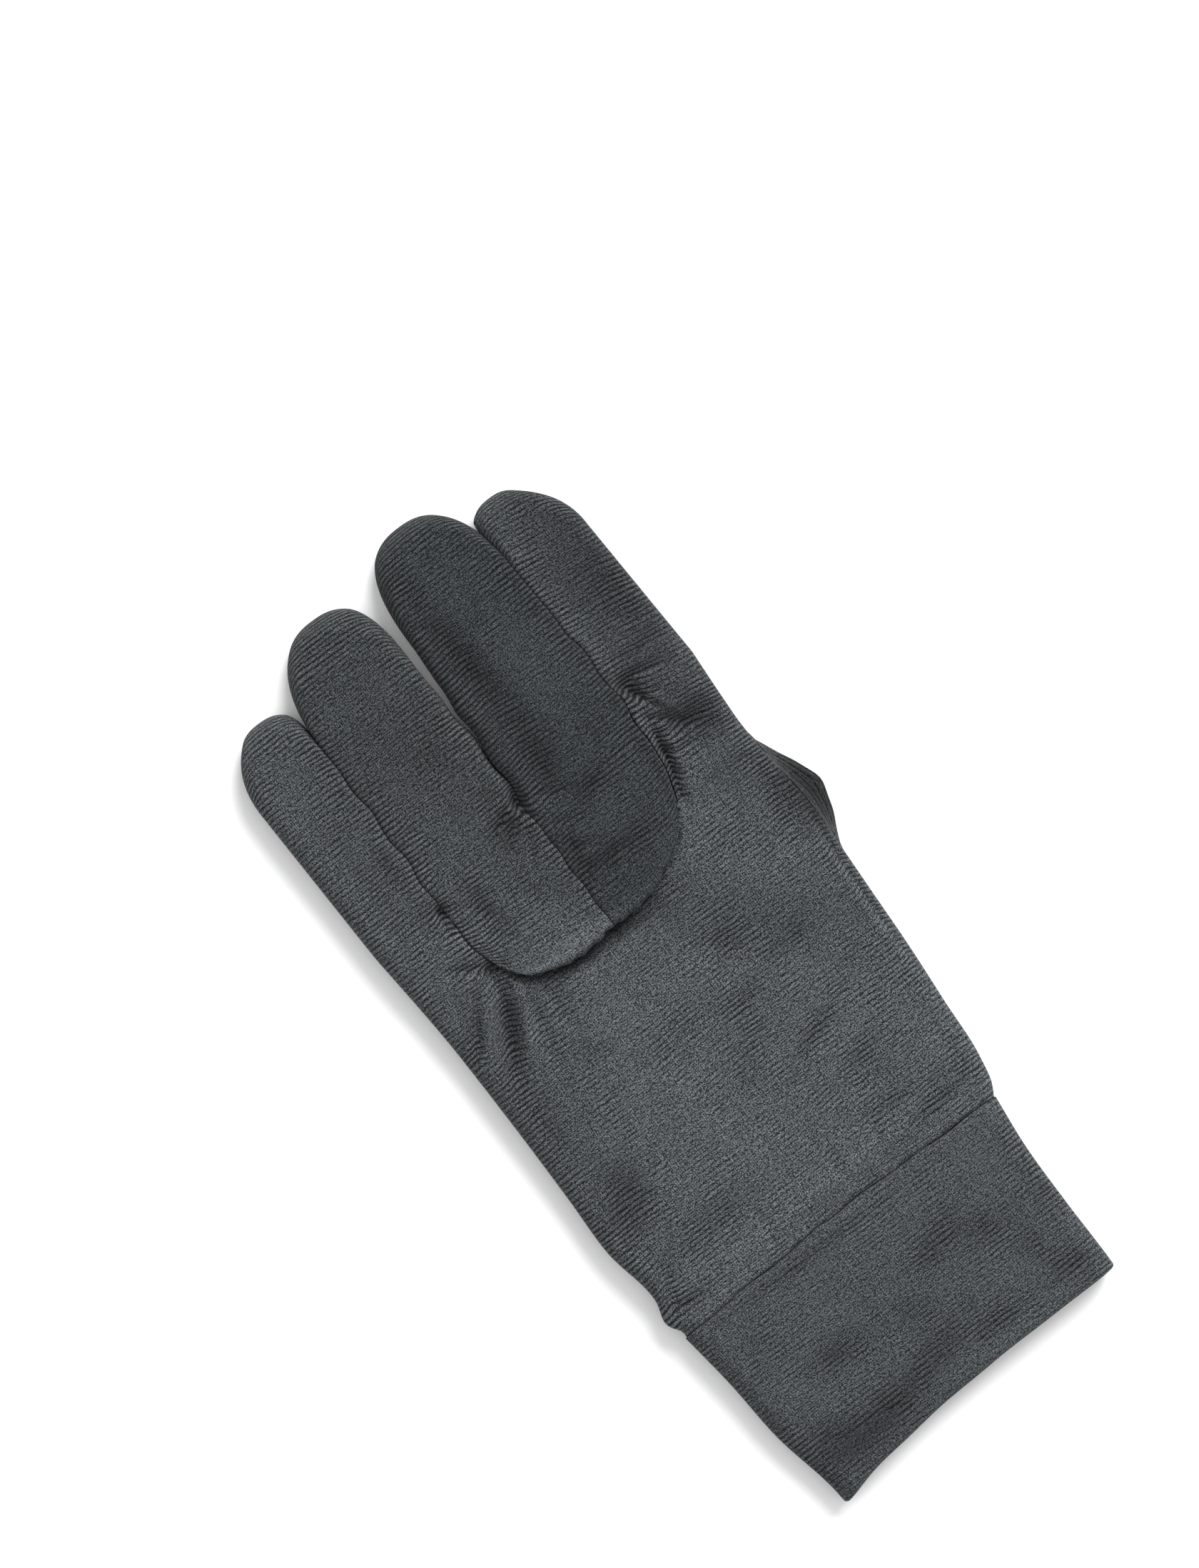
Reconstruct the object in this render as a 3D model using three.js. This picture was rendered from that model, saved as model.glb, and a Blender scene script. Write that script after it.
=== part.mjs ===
// A knitted glove liner lying flat, palm up, with its thumb folded under the hand.
// Millimetres, +X to the thumb side, +Y to the fingertips, +Z up. The origin is under the middle of
// the glove, on the surface it lies on. While it is built, y is 0 at the cuff seam.
import * as THREE from 'three'
import { mergeVertices } from 'three/addons/utils/BufferGeometryUtils.js'

// The fabric, and how high it lies
const WALL = 1.2
const CUFF_WALL = 2
const LOFT = 8
const CUFF_LOFT = 8.4
const THUMB_LOFT = 4.8
const SIDE_ROUND = 8
const CUFF_ROUND = 7
const SEAM_GAP = 0.3
const FINGER_GAP = 0.6

// The cuff
const CUFF_HEIGHT = 52
const CUFF_TOP_WIDTH = 98.4
const CUFF_MOUTH_WIDTH = 89.7
const MOUTH_SLANT = 6.8
const SEAM_BOW = 2.5

// The hand and fingers, each finger's width taken at its crotches
const HAND_LENGTH = 130
const LITTLE_WIDTH = 22
const RING_WIDTH = 32
const MIDDLE_WIDTH = 35
const INDEX_WIDTH = 22.2
const LITTLE_LENGTH = 64.5
const RING_LENGTH = 72.5
const MIDDLE_LENGTH = 71.2
const INDEX_LENGTH = 61
const LITTLE_TIP = 18.5
const RING_TIP = 25
const MIDDLE_TIP = 27
const INDEX_TIP = 20
const TIP_POWER = 2.5
const TIP_CORNER = 0.62

// The thumb: the mouth is its seam along the hand's side
const THUMB_MOUTH = 38
const THUMB_PLACE = 94
const THUMB_LENGTH = 62
const THUMB_WIDTH = 31
const THUMB_TIP = 18
const THUMB_TURN = 45
const THUMB_BULGE = 6
const SLOT_HEIGHT = 5.8
const LIFT_FADE = 24

// How finely the surfaces are divided
const COLUMNS = 8
const CUFF_COLUMNS = 16
const THUMB_POINTS = 24

const KNUCKLE_WIDTH = LITTLE_WIDTH + RING_WIDTH + MIDDLE_WIDTH + INDEX_WIDTH
const HALF_KNUCKLE = KNUCKLE_WIDTH / 2

// The hand's two sides: along is a share of HAND_LENGTH, left and right of HALF_KNUCKLE
const HAND_SIDES = [
  { along: 0, left: 0.887, right: 0.883 },
  { along: 0.023, left: 0.923, right: 0.912 },
  { along: 0.077, left: 0.903, right: 0.942 },
  { along: 0.208, left: 0.946, right: 0.966 },
  { along: 0.331, left: 0.942, right: 0.987 },
  { along: 0.485, left: 0.941, right: 1.002 },
  { along: 0.6, left: 0.944, right: 1.013 },
  { along: 0.715, left: 0.951, right: 1.023 },
  { along: 0.81, left: 0.965, right: 0.99 },
  { along: 0.87, left: 0.976, right: 0.98 },
  { along: 0.93, left: 0.987, right: 0.985 },
  { along: 1.038, left: 1, right: 1 },
]

// The cuff's sides: down is a share of the cuff's height, narrow of the way from top to mouth width,
// and shift, to the thumb side, of the top width
const CUFF_SIDES = [
  { down: 0, narrow: 0, shift: -0.001 },
  { down: 0.28, narrow: 0.39, shift: 0.002 },
  { down: 0.6, narrow: 0.59, shift: 0.008 },
  { down: 0.96, narrow: 1, shift: 0.028 },
  { down: 1, narrow: 1.03, shift: 0.028 },
]

// The fingers, from the little finger side. crotch is where the two ends of the base lie, as shares of
// HAND_LENGTH. spread is the width where the tip starts, lean and apex the sideways drift of the middle
// line at that place and at the very tip, all as shares of the finger's width.
const FINGERS = [
  {
    name: 'little', width: LITTLE_WIDTH, length: LITTLE_LENGTH, tip: LITTLE_TIP,
    crotch: [0.93, 0.93], spread: 1.03, lean: -0.03, apex: 0.1,
  },
  {
    name: 'ring', width: RING_WIDTH, length: RING_LENGTH, tip: RING_TIP,
    crotch: [0.93, 1], spread: 0.96, lean: -0.016, apex: 0.05,
  },
  {
    name: 'middle', width: MIDDLE_WIDTH, length: MIDDLE_LENGTH, tip: MIDDLE_TIP,
    crotch: [1, 1.038], spread: 0.915, lean: 0, apex: -0.03,
  },
  {
    name: 'index', width: INDEX_WIDTH, length: INDEX_LENGTH, tip: INDEX_TIP,
    crotch: [1.038, 1.038], spread: 0.99, lean: -0.075, apex: -0.24,
  },
]

// The U seam under the ring and middle fingers: across is a share of the U's width, along of HAND_LENGTH
const U_SEAM = [
  { across: 0, along: 0.785 },
  { across: 0.06, along: 0.738 },
  { across: 0.175, along: 0.708 },
  { across: 0.28, along: 0.697 },
  { across: 0.49, along: 0.702 },
  { across: 0.62, along: 0.704 },
  { across: 0.73, along: 0.715 },
  { across: 0.845, along: 0.744 },
  { across: 0.95, along: 0.777 },
  { across: 1, along: 0.815 },
]

// How far the U's two sides stand inside the crotches above them, as shares of the fingers' widths
const U_LEFT_IN = 0.084
const U_RIGHT_IN = 0.149

// Folds in the palm side. Places are shares of HALF_KNUCKLE and HAND_LENGTH, spread and depth of
// SIDE_ROUND. A fold with a negative depth is a ridge.
const FOLDS = [
  { x1: -0.58, y1: 0.78, x2: -0.84, y2: 0.56, spread: 0.75, depth: 0.11 },
  { x1: -0.62, y1: 0.7, x2: -0.6, y2: 0.5, spread: 0.8, depth: 0.05 },
  { x1: -0.05, y1: 0.96, x2: -0.22, y2: 0.88, spread: 0.6, depth: 0.15 },
  { x1: 0.7, y1: 0.91, x2: 0.9, y2: 0.96, spread: 0.6, depth: 0.16 },
  { x1: -0.9, y1: 0.055, x2: 0.9, y2: 0.055, spread: 0.6, depth: 0.1 },
  { x1: -0.3, y1: 0.67, x2: 0.3, y2: 0.67, spread: 0.5, depth: 0.1 },
]

// Rows of the grid as shares of each stretch: cuff seam to U seam, U seam to crotches, and crotches to
// where the tip starts. TIP_ROWS are shares of the tip.
const PALM_ROWS = [0, 0.03, 0.09, 0.2, 0.36, 0.52, 0.64, 0.71, 0.77, 0.83, 0.89, 0.95, 1]
const FORK_ROWS = [0, 0.25, 0.5, 0.75, 1]
const FINGER_ROWS = [0, 0.04, 0.2, 0.45, 0.7, 1]
const TIP_ROWS = [0, 0.35, 0.65, 0.88, 1]

// The thumb's base in section, from its seam to where it lies flat. Of the outer layer, out is a share
// of THUMB_BULGE past the seam and up of the seam's height. Of the inner layer, under is a share of
// THUMB_LOFT towards the middle of the hand, and drop of the way down to the flat thumb. length is the
// share of the mouth's length that the section has, and follow how closely it keeps to the hand's side
// and to the slot's pointed shape.
const THUMB_BASE = [
  { out: 0, up: 1, under: 0, drop: 0, length: 1, follow: 1 },
  { out: 0.18, up: 0.8, under: -0.1, drop: 0.4, length: 0.97, follow: 1 },
  { out: 0.55, up: 0.62, under: -0.04, drop: 0.85, length: 0.9, follow: 0.9 },
  { out: 0.97, up: 0.42, under: 0.2, drop: 1, length: 0.84, follow: 0.85 },
  { out: 1, up: 0.2, under: 0.4, drop: 1, length: 0.84, follow: 0.8 },
  { out: 0.6, up: 0.02, under: 0.6, drop: 1, length: 0.92, follow: 0.5 },
  { out: -0.4, up: 0, under: 0.8, drop: 1, length: 1, follow: 0 },
]
const THUMB_ROWS = [0.12, 0.25, 0.4, 0.55]
const THUMB_TIP_ROWS = [0, 0.4, 0.7, 0.9, 0.985]

const mix = (a, b, t) => a + (b - a) * t
const clamp = (t) => Math.min(1, Math.max(0, t))
const smooth = (t) => clamp(t) ** 2 * (3 - 2 * clamp(t))
const arc = (t) => Math.sqrt(1 - (1 - clamp(t)) ** 2)
const spacing = (i, count) => -Math.cos((Math.PI * i) / count)

// The value of one column of a table, between the rows on both sides of a place
function lookup(table, key, place, column) {
  const last = table.length - 1
  let i = 1
  while (i < last && table[i][key] < place) i += 1
  const span = table[i][key] - table[i - 1][key]
  return mix(table[i - 1][column], table[i][column], clamp((place - table[i - 1][key]) / span))
}

const leftSide = (y) => -HALF_KNUCKLE * lookup(HAND_SIDES, 'along', y / HAND_LENGTH, 'left')
const rightSide = (y) => HALF_KNUCKLE * lookup(HAND_SIDES, 'along', y / HAND_LENGTH, 'right')

// Where the fingers part: the crotches between little and ring, ring and middle, middle and index
const crotchX = [-HALF_KNUCKLE + LITTLE_WIDTH]
crotchX.push(crotchX[0] + RING_WIDTH, crotchX[0] + RING_WIDTH + MIDDLE_WIDTH)
const crotches = crotchX.map((x, i) => new THREE.Vector2(x, FINGERS[i].crotch[1] * HAND_LENGTH))
const uLeft = crotchX[0] + U_LEFT_IN * RING_WIDTH
const uRight = crotchX[2] - U_RIGHT_IN * MIDDLE_WIDTH

// The line of the cuff seam, a little bowed towards the fingers
function seamLine(x) {
  const share = x / (CUFF_TOP_WIDTH / 2)
  return SEAM_BOW * (0.6 * (1 - share * share) + 0.4 * share - 0.4)
}

// The thumb lies flat under the hand, on a line turned from the fingers towards the little finger
const thumbTurn = THREE.MathUtils.degToRad(THUMB_TURN)
const thumbAlong = new THREE.Vector2(-Math.sin(thumbTurn), Math.cos(thumbTurn))
const thumbAcross = new THREE.Vector2(Math.cos(thumbTurn), Math.sin(thumbTurn))
const thumbRoot = new THREE.Vector2(rightSide(THUMB_PLACE) - THUMB_LOFT, THUMB_PLACE)

// How far the hand is raised by the thumb under it
function lift(x, y) {
  const reach = THUMB_LENGTH - THUMB_WIDTH / 2
  const from = new THREE.Vector2(x, y).sub(thumbRoot)
  const share = clamp(from.dot(thumbAlong) / reach)
  const away = from.addScaledVector(thumbAlong, -share * reach).length()
  const radius = mix(THUMB_MOUTH / 2 + 2, THUMB_WIDTH / 2 + 1, share)
  return (THUMB_LOFT + SEAM_GAP) * smooth(1 - (away - radius) / LIFT_FADE)
}

// How deep the palm side is folded in at a place
function foldDepth(x, y) {
  const place = new THREE.Vector2(x, y)
  let depth = 0
  for (const fold of FOLDS) {
    const start = new THREE.Vector2(fold.x1 * HALF_KNUCKLE, fold.y1 * HAND_LENGTH)
    const line = new THREE.Vector2(fold.x2 * HALF_KNUCKLE, fold.y2 * HAND_LENGTH).sub(start)
    const from = place.clone().sub(start)
    const share = clamp(from.dot(line) / line.lengthSq())
    const away = from.addScaledVector(line, -share).length()
    depth += fold.depth * SIDE_ROUND * smooth(1 - away / (fold.spread * SIDE_ROUND * 1.5))
  }
  return depth
}

// Half the height of the slot in the hand's side that the thumb opens from, and how far in from the
// side that leaves the edges of palm and back
const slotRise = (y) => (SLOT_HEIGHT / 2) * Math.max(0, 1 - ((y - THUMB_PLACE) / (THUMB_MOUTH / 2)) ** 2)
const slotDepth = (y) => SIDE_ROUND * (1 - Math.sqrt(1 - (slotRise(y) / (LOFT / 2)) ** 2))

const sideLine = (y) => rightSide(y) - slotDepth(y)

// How the fabric runs outwards and down where the slot cuts it
function slotSlope(y) {
  const run = 1 - slotDepth(y) / SIDE_ROUND
  return (LOFT / 2 / SIDE_ROUND) * (run / Math.max(1e-6, Math.sqrt(1 - run * run)))
}

// The slot's depth on the outer face or, set in by the wall, on the inner one
function slotEdge(y, inset) {
  return Math.max(0, slotDepth(y) - inset * (1 - slotSlope(y) / Math.hypot(1, slotSlope(y))))
}

// A point of the upper (side 1) or lower (side -1) fabric, a distance in from the nearest edge
function surface(x, y, edge, side, inset) {
  const rounding = arc(edge / (SIDE_ROUND - inset))
  const half = (LOFT / 2 - inset) * rounding
  const fold = side > 0 ? foldDepth(x, y) * rounding * rounding : 0
  return new THREE.Vector3(x, y, LOFT / 2 + lift(x, y) + side * (Math.max(half, SEAM_GAP / 2) - fold))
}

// The left and right lines of a finger's stretch of the hand at a height above the cuff seam.
// apart is half the gap that a panel keeps to the next one.
function handLines(finger, share, zone, apart) {
  const cuffHalf = CUFF_TOP_WIDTH / 2
  const uLines = [null, uLeft, crotchX[1], uRight, null]
  const lines = []
  for (const end of [0, 1]) {
    const k = finger + end
    if (uLines[k] === null) {
      lines.push(null)
      continue
    }
    const atCuff = (cuffHalf * (0.97 * crotchX[k - 1])) / HALF_KNUCKLE
    const x = zone === 'palm' ? mix(atCuff, uLines[k], share) : mix(uLines[k], crotchX[k - 1], arc(share))
    lines.push(x + (zone === 'palm' ? 0 : (end ? -apart : apart)))
  }
  return lines
}

// The U seam's height at a place across the hand
function uHeight(x) {
  return HAND_LENGTH * lookup(U_SEAM, 'across', clamp((x - uLeft) / (uRight - uLeft)), 'along')
}

// A point of the hand: u runs from -1 to 1 across a finger's stretch, share along a zone. shift moves
// the row along the U seam, but not at the U's two corners.
function handPoint(finger, u, zone, share, side, inset, apart, shift) {
  const [leftLine, rightLine] = handLines(finger, share, zone, apart)
  const [leftU, rightU] = handLines(finger, 1, 'palm', 0)
  const across = (u + 1) / 2
  const [baseLeft, baseRight] = FINGERS[finger].crotch
  let x = 0
  let y = 0
  for (let pass = 0; pass < 4; pass += 1) {
    const left = leftLine ?? leftSide(y) + inset
    const right = rightLine ?? rightSide(y) - inset - slotEdge(y, inset)
    x = mix(left, right, across)
    const seamX = mix(leftU ?? left, rightU ?? right, across)
    const fromCorner = shift > 0 ? 1 : clamp(Math.min(seamX - uLeft, uRight - seamX))
    const seamY = uHeight(seamX) + shift * fromCorner
    const knuckle = mix(baseLeft, baseRight, across) * HAND_LENGTH - inset
    y = zone === 'palm' ? mix(seamLine(x) + SEAM_GAP, seamY, share) : mix(seamY, knuckle, share)
  }
  let edge = Math.min(x - leftSide(y), rightSide(y) - x) - inset
  for (const crotch of crotches) edge = Math.min(edge, Math.hypot(x - crotch.x, y - crotch.y + inset))
  return surface(x, y, Math.max(0, edge), side, inset)
}

// A point of a finger: share runs from its crotches to where the tip starts, then q through the tip
function fingerPoint(finger, u, share, q, side, inset, apart) {
  const f = FINGERS[finger]
  const across = (u + 1) / 2
  const [leftY, rightY] = f.crotch.map((along) => along * HAND_LENGTH - inset)
  const baseLeft = finger ? crotchX[finger - 1] : leftSide(leftY)
  const baseRight = finger < 3 ? crotchX[finger] : rightSide(rightY)
  const topMiddle = (baseLeft + baseRight) / 2 + f.width * f.lean
  const inner = mix(apart, FINGER_GAP / 2 + inset, clamp(share / FINGER_ROWS[1]))
  const left = mix(baseLeft, topMiddle - (f.width * f.spread) / 2, share) + (finger ? inner : inset)
  const right = mix(baseRight, topMiddle + (f.width * f.spread) / 2, share) - (finger < 3 ? inner : inset)
  const middle = (left + right) / 2
  const half = (right - left) / 2
  const baseY = mix(leftY, rightY, across)
  const tipStart = ((f.crotch[0] + f.crotch[1]) / 2) * HAND_LENGTH + f.length - f.tip
  const tip = f.tip - inset
  const cornerRise = (1 - TIP_CORNER ** TIP_POWER) ** (1 / TIP_POWER)
  const narrow = (1 - (cornerRise * q) ** TIP_POWER) ** (1 / TIP_POWER)
  const end = (1 - (TIP_CORNER * Math.abs(u)) ** TIP_POWER) ** (1 / TIP_POWER)
  const x = middle + f.width * f.apex * q * q + half * u * narrow
  const y = mix(baseY, tipStart, share) + tip * q * end
  const measure = ((Math.abs(u) * narrow) ** TIP_POWER + (q * end) ** TIP_POWER) ** (1 / TIP_POWER)
  const open = clamp(share / FINGER_ROWS[1])
  const width = mix(Math.hypot(right - left, rightY - leftY), right - left, open)
  return surface(x, y, Math.max(0, (width / 2) * (1 - measure)), side, inset)
}

// A patch of fabric as a grid of points on its outer and inner face: point(column, row, inset)
function patch(point, columns, rows, side, wall) {
  const quads = []
  const corner = (i, j) => [point(i, j, 0), point(i, j, wall)]
  for (let i = 0; i < columns; i += 1) {
    for (let j = 0; j < rows; j += 1) {
      const quad = [corner(i, j), corner(i + 1, j), corner(i + 1, j + 1), corner(i, j + 1)]
      quads.push(side > 0 ? quad : quad.reverse())
    }
  }
  return quads
}

// A closed solid from such patches: both faces, and a rim along every edge that only one quad has
function solid(quads) {
  const positions = []
  const name = (v) => v.toArray().map((n) => Math.round(n * 1e4)).join()
  const edges = new Map()
  const triangle = (a, b, c) => {
    if (name(a) !== name(b) && name(b) !== name(c) && name(a) !== name(c)) {
      positions.push(...a.toArray(), ...b.toArray(), ...c.toArray())
    }
  }
  for (const quad of quads) {
    const [[a, aIn], [b, bIn], [c, cIn], [d, dIn]] = quad
    triangle(a, b, c)
    triangle(a, c, d)
    triangle(aIn, cIn, bIn)
    triangle(aIn, dIn, cIn)
    for (let i = 0; i < 4; i += 1) {
      const [from, to] = [quad[i], quad[(i + 1) % 4]]
      const forward = `${name(from[0])}/${name(to[0])}`
      const backward = `${name(to[0])}/${name(from[0])}`
      if (edges.has(backward)) edges.delete(backward)
      else if (name(from[0]) !== name(to[0])) edges.set(forward, [from, to])
    }
  }
  for (const [[from, fromIn], [to, toIn]] of edges.values()) {
    triangle(from, fromIn, to)
    triangle(to, fromIn, toIn)
  }
  const geometry = new THREE.BufferGeometry()
  geometry.setAttribute('position', new THREE.Float32BufferAttribute(positions, 3))
  const merged = mergeVertices(geometry, 1e-4)
  merged.computeVertexNormals()
  return merged
}

// The quads of one finger's stretch of a panel, in one of the zones of the hand or on the finger
function stretch(finger, zone, side, apart, shift) {
  const rows = { palm: PALM_ROWS, fork: FORK_ROWS, finger: FINGER_ROWS, tip: TIP_ROWS }[zone]
  const point = (i, j, inset) => {
    const u = spacing(i, COLUMNS)
    if (zone === 'finger') return fingerPoint(finger, u, rows[j], 0, side, inset, apart)
    if (zone === 'tip') return fingerPoint(finger, u, 1, rows[j], side, inset, apart)
    return handPoint(finger, u, zone, rows[j], side, inset, rows[j] || shift ? apart : 0, shift)
  }
  return patch(point, COLUMNS, rows.length - 1, side, WALL)
}

function handBack() {
  const quads = []
  for (const finger of [0, 1, 2, 3]) {
    for (const zone of ['palm', 'fork', 'finger', 'tip']) quads.push(...stretch(finger, zone, -1, 0, 0))
  }
  return solid(quads)
}

function palm() {
  const quads = []
  const shift = -SEAM_GAP * 0.75
  for (const finger of [0, 1, 2, 3]) quads.push(...stretch(finger, 'palm', 1, 0, finger % 3 ? shift : 0))
  for (const finger of [0, 3]) {
    for (const zone of ['fork', 'finger', 'tip']) quads.push(...stretch(finger, zone, 1, SEAM_GAP / 2, 0))
  }
  return solid(quads)
}

function fingerFront(finger) {
  const quads = []
  for (const zone of ['fork', 'finger', 'tip']) {
    quads.push(...stretch(finger, zone, 1, SEAM_GAP / 2, SEAM_GAP * 0.75))
  }
  return solid(quads)
}

// The cuff: a flattened band, open at the mouth and at the hand
function cuff() {
  const quads = []
  const rows = CUFF_SIDES.length - 1
  const point = (side) => (i, j, inset) => {
    const row = CUFF_SIDES[j]
    const u = spacing(i, CUFF_COLUMNS)
    const half = mix(CUFF_TOP_WIDTH, CUFF_MOUTH_WIDTH, row.narrow) / 2
    const x = row.shift * CUFF_TOP_WIDTH + (half - inset) * u
    const mouth = -CUFF_HEIGHT - (MOUTH_SLANT * (1 - u) * (2 - u)) / 6
    const rounding = arc(((half - inset) * (1 - Math.abs(u))) / (CUFF_ROUND - inset))
    const z = CUFF_LOFT / 2 + side * (CUFF_LOFT / 2 - inset) * rounding
    return new THREE.Vector3(x, mix(seamLine(x), mouth, row.down), z)
  }
  for (const side of [1, -1]) quads.push(...patch(point(side), CUFF_COLUMNS, rows, -side, CUFF_WALL))
  return solid(quads)
}

// A section of the thumb: a flattened ring through an outer (lower) and an inner (upper) line
function thumbRing(lower, upper, middle, half, inset, follow) {
  const ring = []
  for (let i = 0; i < THUMB_POINTS; i += 1) {
    const angle = (2 * Math.PI * i) / THUMB_POINTS
    const reach = mix(arc(Math.abs(Math.sin(angle)) / 0.8), Math.sin(angle) ** 2, follow)
    const centre = lower.clone().add(upper).multiplyScalar(0.5)
    const target = Math.sin(angle) > 0 ? lower : upper
    const along = half.clone().setLength(half.length() - inset).multiplyScalar(Math.cos(angle))
    const xz = centre.lerp(target, reach)
    const y = middle + along.y
    const side = follow * (sideLine(y) - sideLine(THUMB_PLACE))
    ring.push(new THREE.Vector3(xz.x + along.x + side, y, xz.y))
  }
  return ring
}

// The line of the thumb's outer or inner layer in section, set in towards the hollow by the wall.
// It leaves the seam in the direction start.
function setIn(line, start, inset, turn) {
  return line.map((p, i) => {
    const after = line[Math.min(line.length - 1, i + 1)]
    const along = i ? after.clone().sub(line[i - 1]).normalize() : start
    return p.clone().add(new THREE.Vector2(-along.y, along.x).multiplyScalar(turn * inset))
  })
}

function thumbRings(inset) {
  const seamZ = LOFT / 2 + THUMB_LOFT + SEAM_GAP
  const rise = SLOT_HEIGHT / 2
  const down = new THREE.Vector2(1, -slotSlope(THUMB_PLACE)).normalize()
  const up = new THREE.Vector2(down.x, -down.y)
  const seamX = sideLine(THUMB_PLACE)
  const outerSeam = new THREE.Vector2(seamX, seamZ + rise).addScaledVector(down, SEAM_GAP)
  const innerSeam = new THREE.Vector2(seamX, seamZ - rise).addScaledVector(up, SEAM_GAP)
  const outer = THUMB_BASE.map((row) => (
    new THREE.Vector2(outerSeam.x + row.out * THUMB_BULGE, row.up * outerSeam.y)
  ))
  const inner = THUMB_BASE.map((row) => (
    new THREE.Vector2(innerSeam.x - row.under * THUMB_LOFT, mix(innerSeam.y, THUMB_LOFT, row.drop))
  ))
  const lower = setIn(outer, down, inset, -1)
  const upper = setIn(inner, up, inset, 1)
  const rings = THUMB_BASE.map((row, i) => {
    const half = new THREE.Vector2(0, (THUMB_MOUTH / 2) * row.length)
    return thumbRing(lower[i], upper[i], THUMB_PLACE, half, inset, row.follow)
  })
  const root = (outer.at(-1).x + inner.at(-1).x) / 2
  const flat = [new THREE.Vector2(0, inset), new THREE.Vector2(0, THUMB_LOFT - inset)]
  const addFlat = (run, width, height) => {
    const turn = smooth(run / (THUMB_LENGTH * 0.4))
    const across = thumbAcross.clone().multiplyScalar(width / 2)
    const half = new THREE.Vector2(0, THUMB_MOUTH / 2).lerp(across, turn)
    half.setLength(Math.max(half.length(), inset + 0.5))
    const x = root + thumbAlong.x * run
    const middle = THUMB_LOFT / 2
    const line = flat.map((p) => new THREE.Vector2(x, middle + (p.y - middle) * height))
    rings.push(thumbRing(line[0], line[1], THUMB_PLACE + thumbAlong.y * run, half, inset, 0))
  }
  for (const row of THUMB_ROWS) addFlat(row * THUMB_LENGTH, THUMB_WIDTH, 1)
  for (const row of THUMB_TIP_ROWS) {
    const width = THUMB_WIDTH * (1 - row ** TIP_POWER) ** (1 / TIP_POWER)
    addFlat(THUMB_LENGTH - THUMB_TIP + row * (THUMB_TIP - inset), width, 1 - 0.3 * row * row)
  }
  return rings
}

function thumb() {
  const faces = [thumbRings(0), thumbRings(WALL)]
  const last = faces[0].length - 1
  const quads = []
  for (let j = 0; j < last; j += 1) {
    for (let i = 0; i < THUMB_POINTS; i += 1) {
      const next = (i + 1) % THUMB_POINTS
      quads.push([[i, j], [next, j], [next, j + 1], [i, j + 1]].map(([n, m]) => faces.map((f) => f[m][n])))
    }
  }
  for (let i = 0; i < THUMB_POINTS / 2; i += 1) {
    const back = (n) => (THUMB_POINTS - n) % THUMB_POINTS
    const cap = [[i, last], [i + 1, last], [back(i + 1), last], [back(i), last]]
    quads.push(cap.map(([n, m]) => faces.map((f) => f[m][n])))
  }
  return solid(quads)
}

// Every piece is the same charcoal jersey, a little darker where it lies in the shade of the others
const PIECES = [
  { name: 'hand_back', colour: 0x33393b, geometry: handBack() },
  { name: 'palm', colour: 0x464d50, geometry: palm() },
  { name: 'ring_front', colour: 0x3e4547, geometry: fingerFront(1) },
  { name: 'middle_front', colour: 0x373e40, geometry: fingerFront(2) },
  { name: 'thumb', colour: 0x2e3436, geometry: thumb() },
  { name: 'cuff', colour: 0x484f52, geometry: cuff() },
]

const glove = new THREE.Group()
for (const piece of PIECES) {
  const material = new THREE.MeshStandardMaterial({ color: piece.colour, roughness: 0.95, metalness: 0 })
  const mesh = new THREE.Mesh(piece.geometry, material)
  mesh.name = piece.name
  glove.add(mesh)
}

// Stand the origin under the middle of the glove
const box = new THREE.Box3().setFromObject(glove)
const centre = box.getCenter(new THREE.Vector3())
glove.position.set(-centre.x, -centre.y, -box.min.z)

export default glove
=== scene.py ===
"""A thin knitted glove liner in charcoal jersey. It lies palm up, with its thumb folded under the hand."""

import math

import bmesh
import bpy
import numpy as np
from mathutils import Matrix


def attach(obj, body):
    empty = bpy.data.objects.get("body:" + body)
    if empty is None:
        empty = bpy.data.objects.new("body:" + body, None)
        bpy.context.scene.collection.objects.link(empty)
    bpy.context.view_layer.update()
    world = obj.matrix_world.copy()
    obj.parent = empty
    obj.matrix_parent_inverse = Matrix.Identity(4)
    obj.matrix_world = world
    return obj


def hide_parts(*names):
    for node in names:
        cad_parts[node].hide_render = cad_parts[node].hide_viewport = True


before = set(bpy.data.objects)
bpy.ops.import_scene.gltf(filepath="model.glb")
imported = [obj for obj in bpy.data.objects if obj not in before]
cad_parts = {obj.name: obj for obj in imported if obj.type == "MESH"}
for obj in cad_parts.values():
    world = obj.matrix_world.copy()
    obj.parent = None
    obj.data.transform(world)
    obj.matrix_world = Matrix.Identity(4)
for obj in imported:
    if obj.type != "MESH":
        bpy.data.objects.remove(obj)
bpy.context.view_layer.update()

# The view
# The camera looks straight down at the glove, from far enough away that nothing is foreshortened. It is
# turned so that the fingers point to the upper left.
PICTURE_WIDTH = 0.3
PICTURE_MIDDLE = (0.01454, 0.04967)
PICTURE_TURN = math.atan2(-0.6, 0.8)
CAMERA_HEIGHT = 2.5
GLOVE_MIDDLE_HEIGHT = 0.005
SENSOR_WIDTH = 36

view = bpy.data.cameras.new("view")
view.sensor_fit = "HORIZONTAL"
view.sensor_width = SENSOR_WIDTH
view.lens = SENSOR_WIDTH * (CAMERA_HEIGHT - GLOVE_MIDDLE_HEIGHT) / PICTURE_WIDTH
view.clip_end = 20
camera = bpy.data.objects.new("camera", view)
camera.location = (*PICTURE_MIDDLE, CAMERA_HEIGHT)
camera.rotation_euler = (0, 0, PICTURE_TURN)
bpy.context.scene.collection.objects.link(camera)
bpy.context.scene.camera = camera

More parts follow.
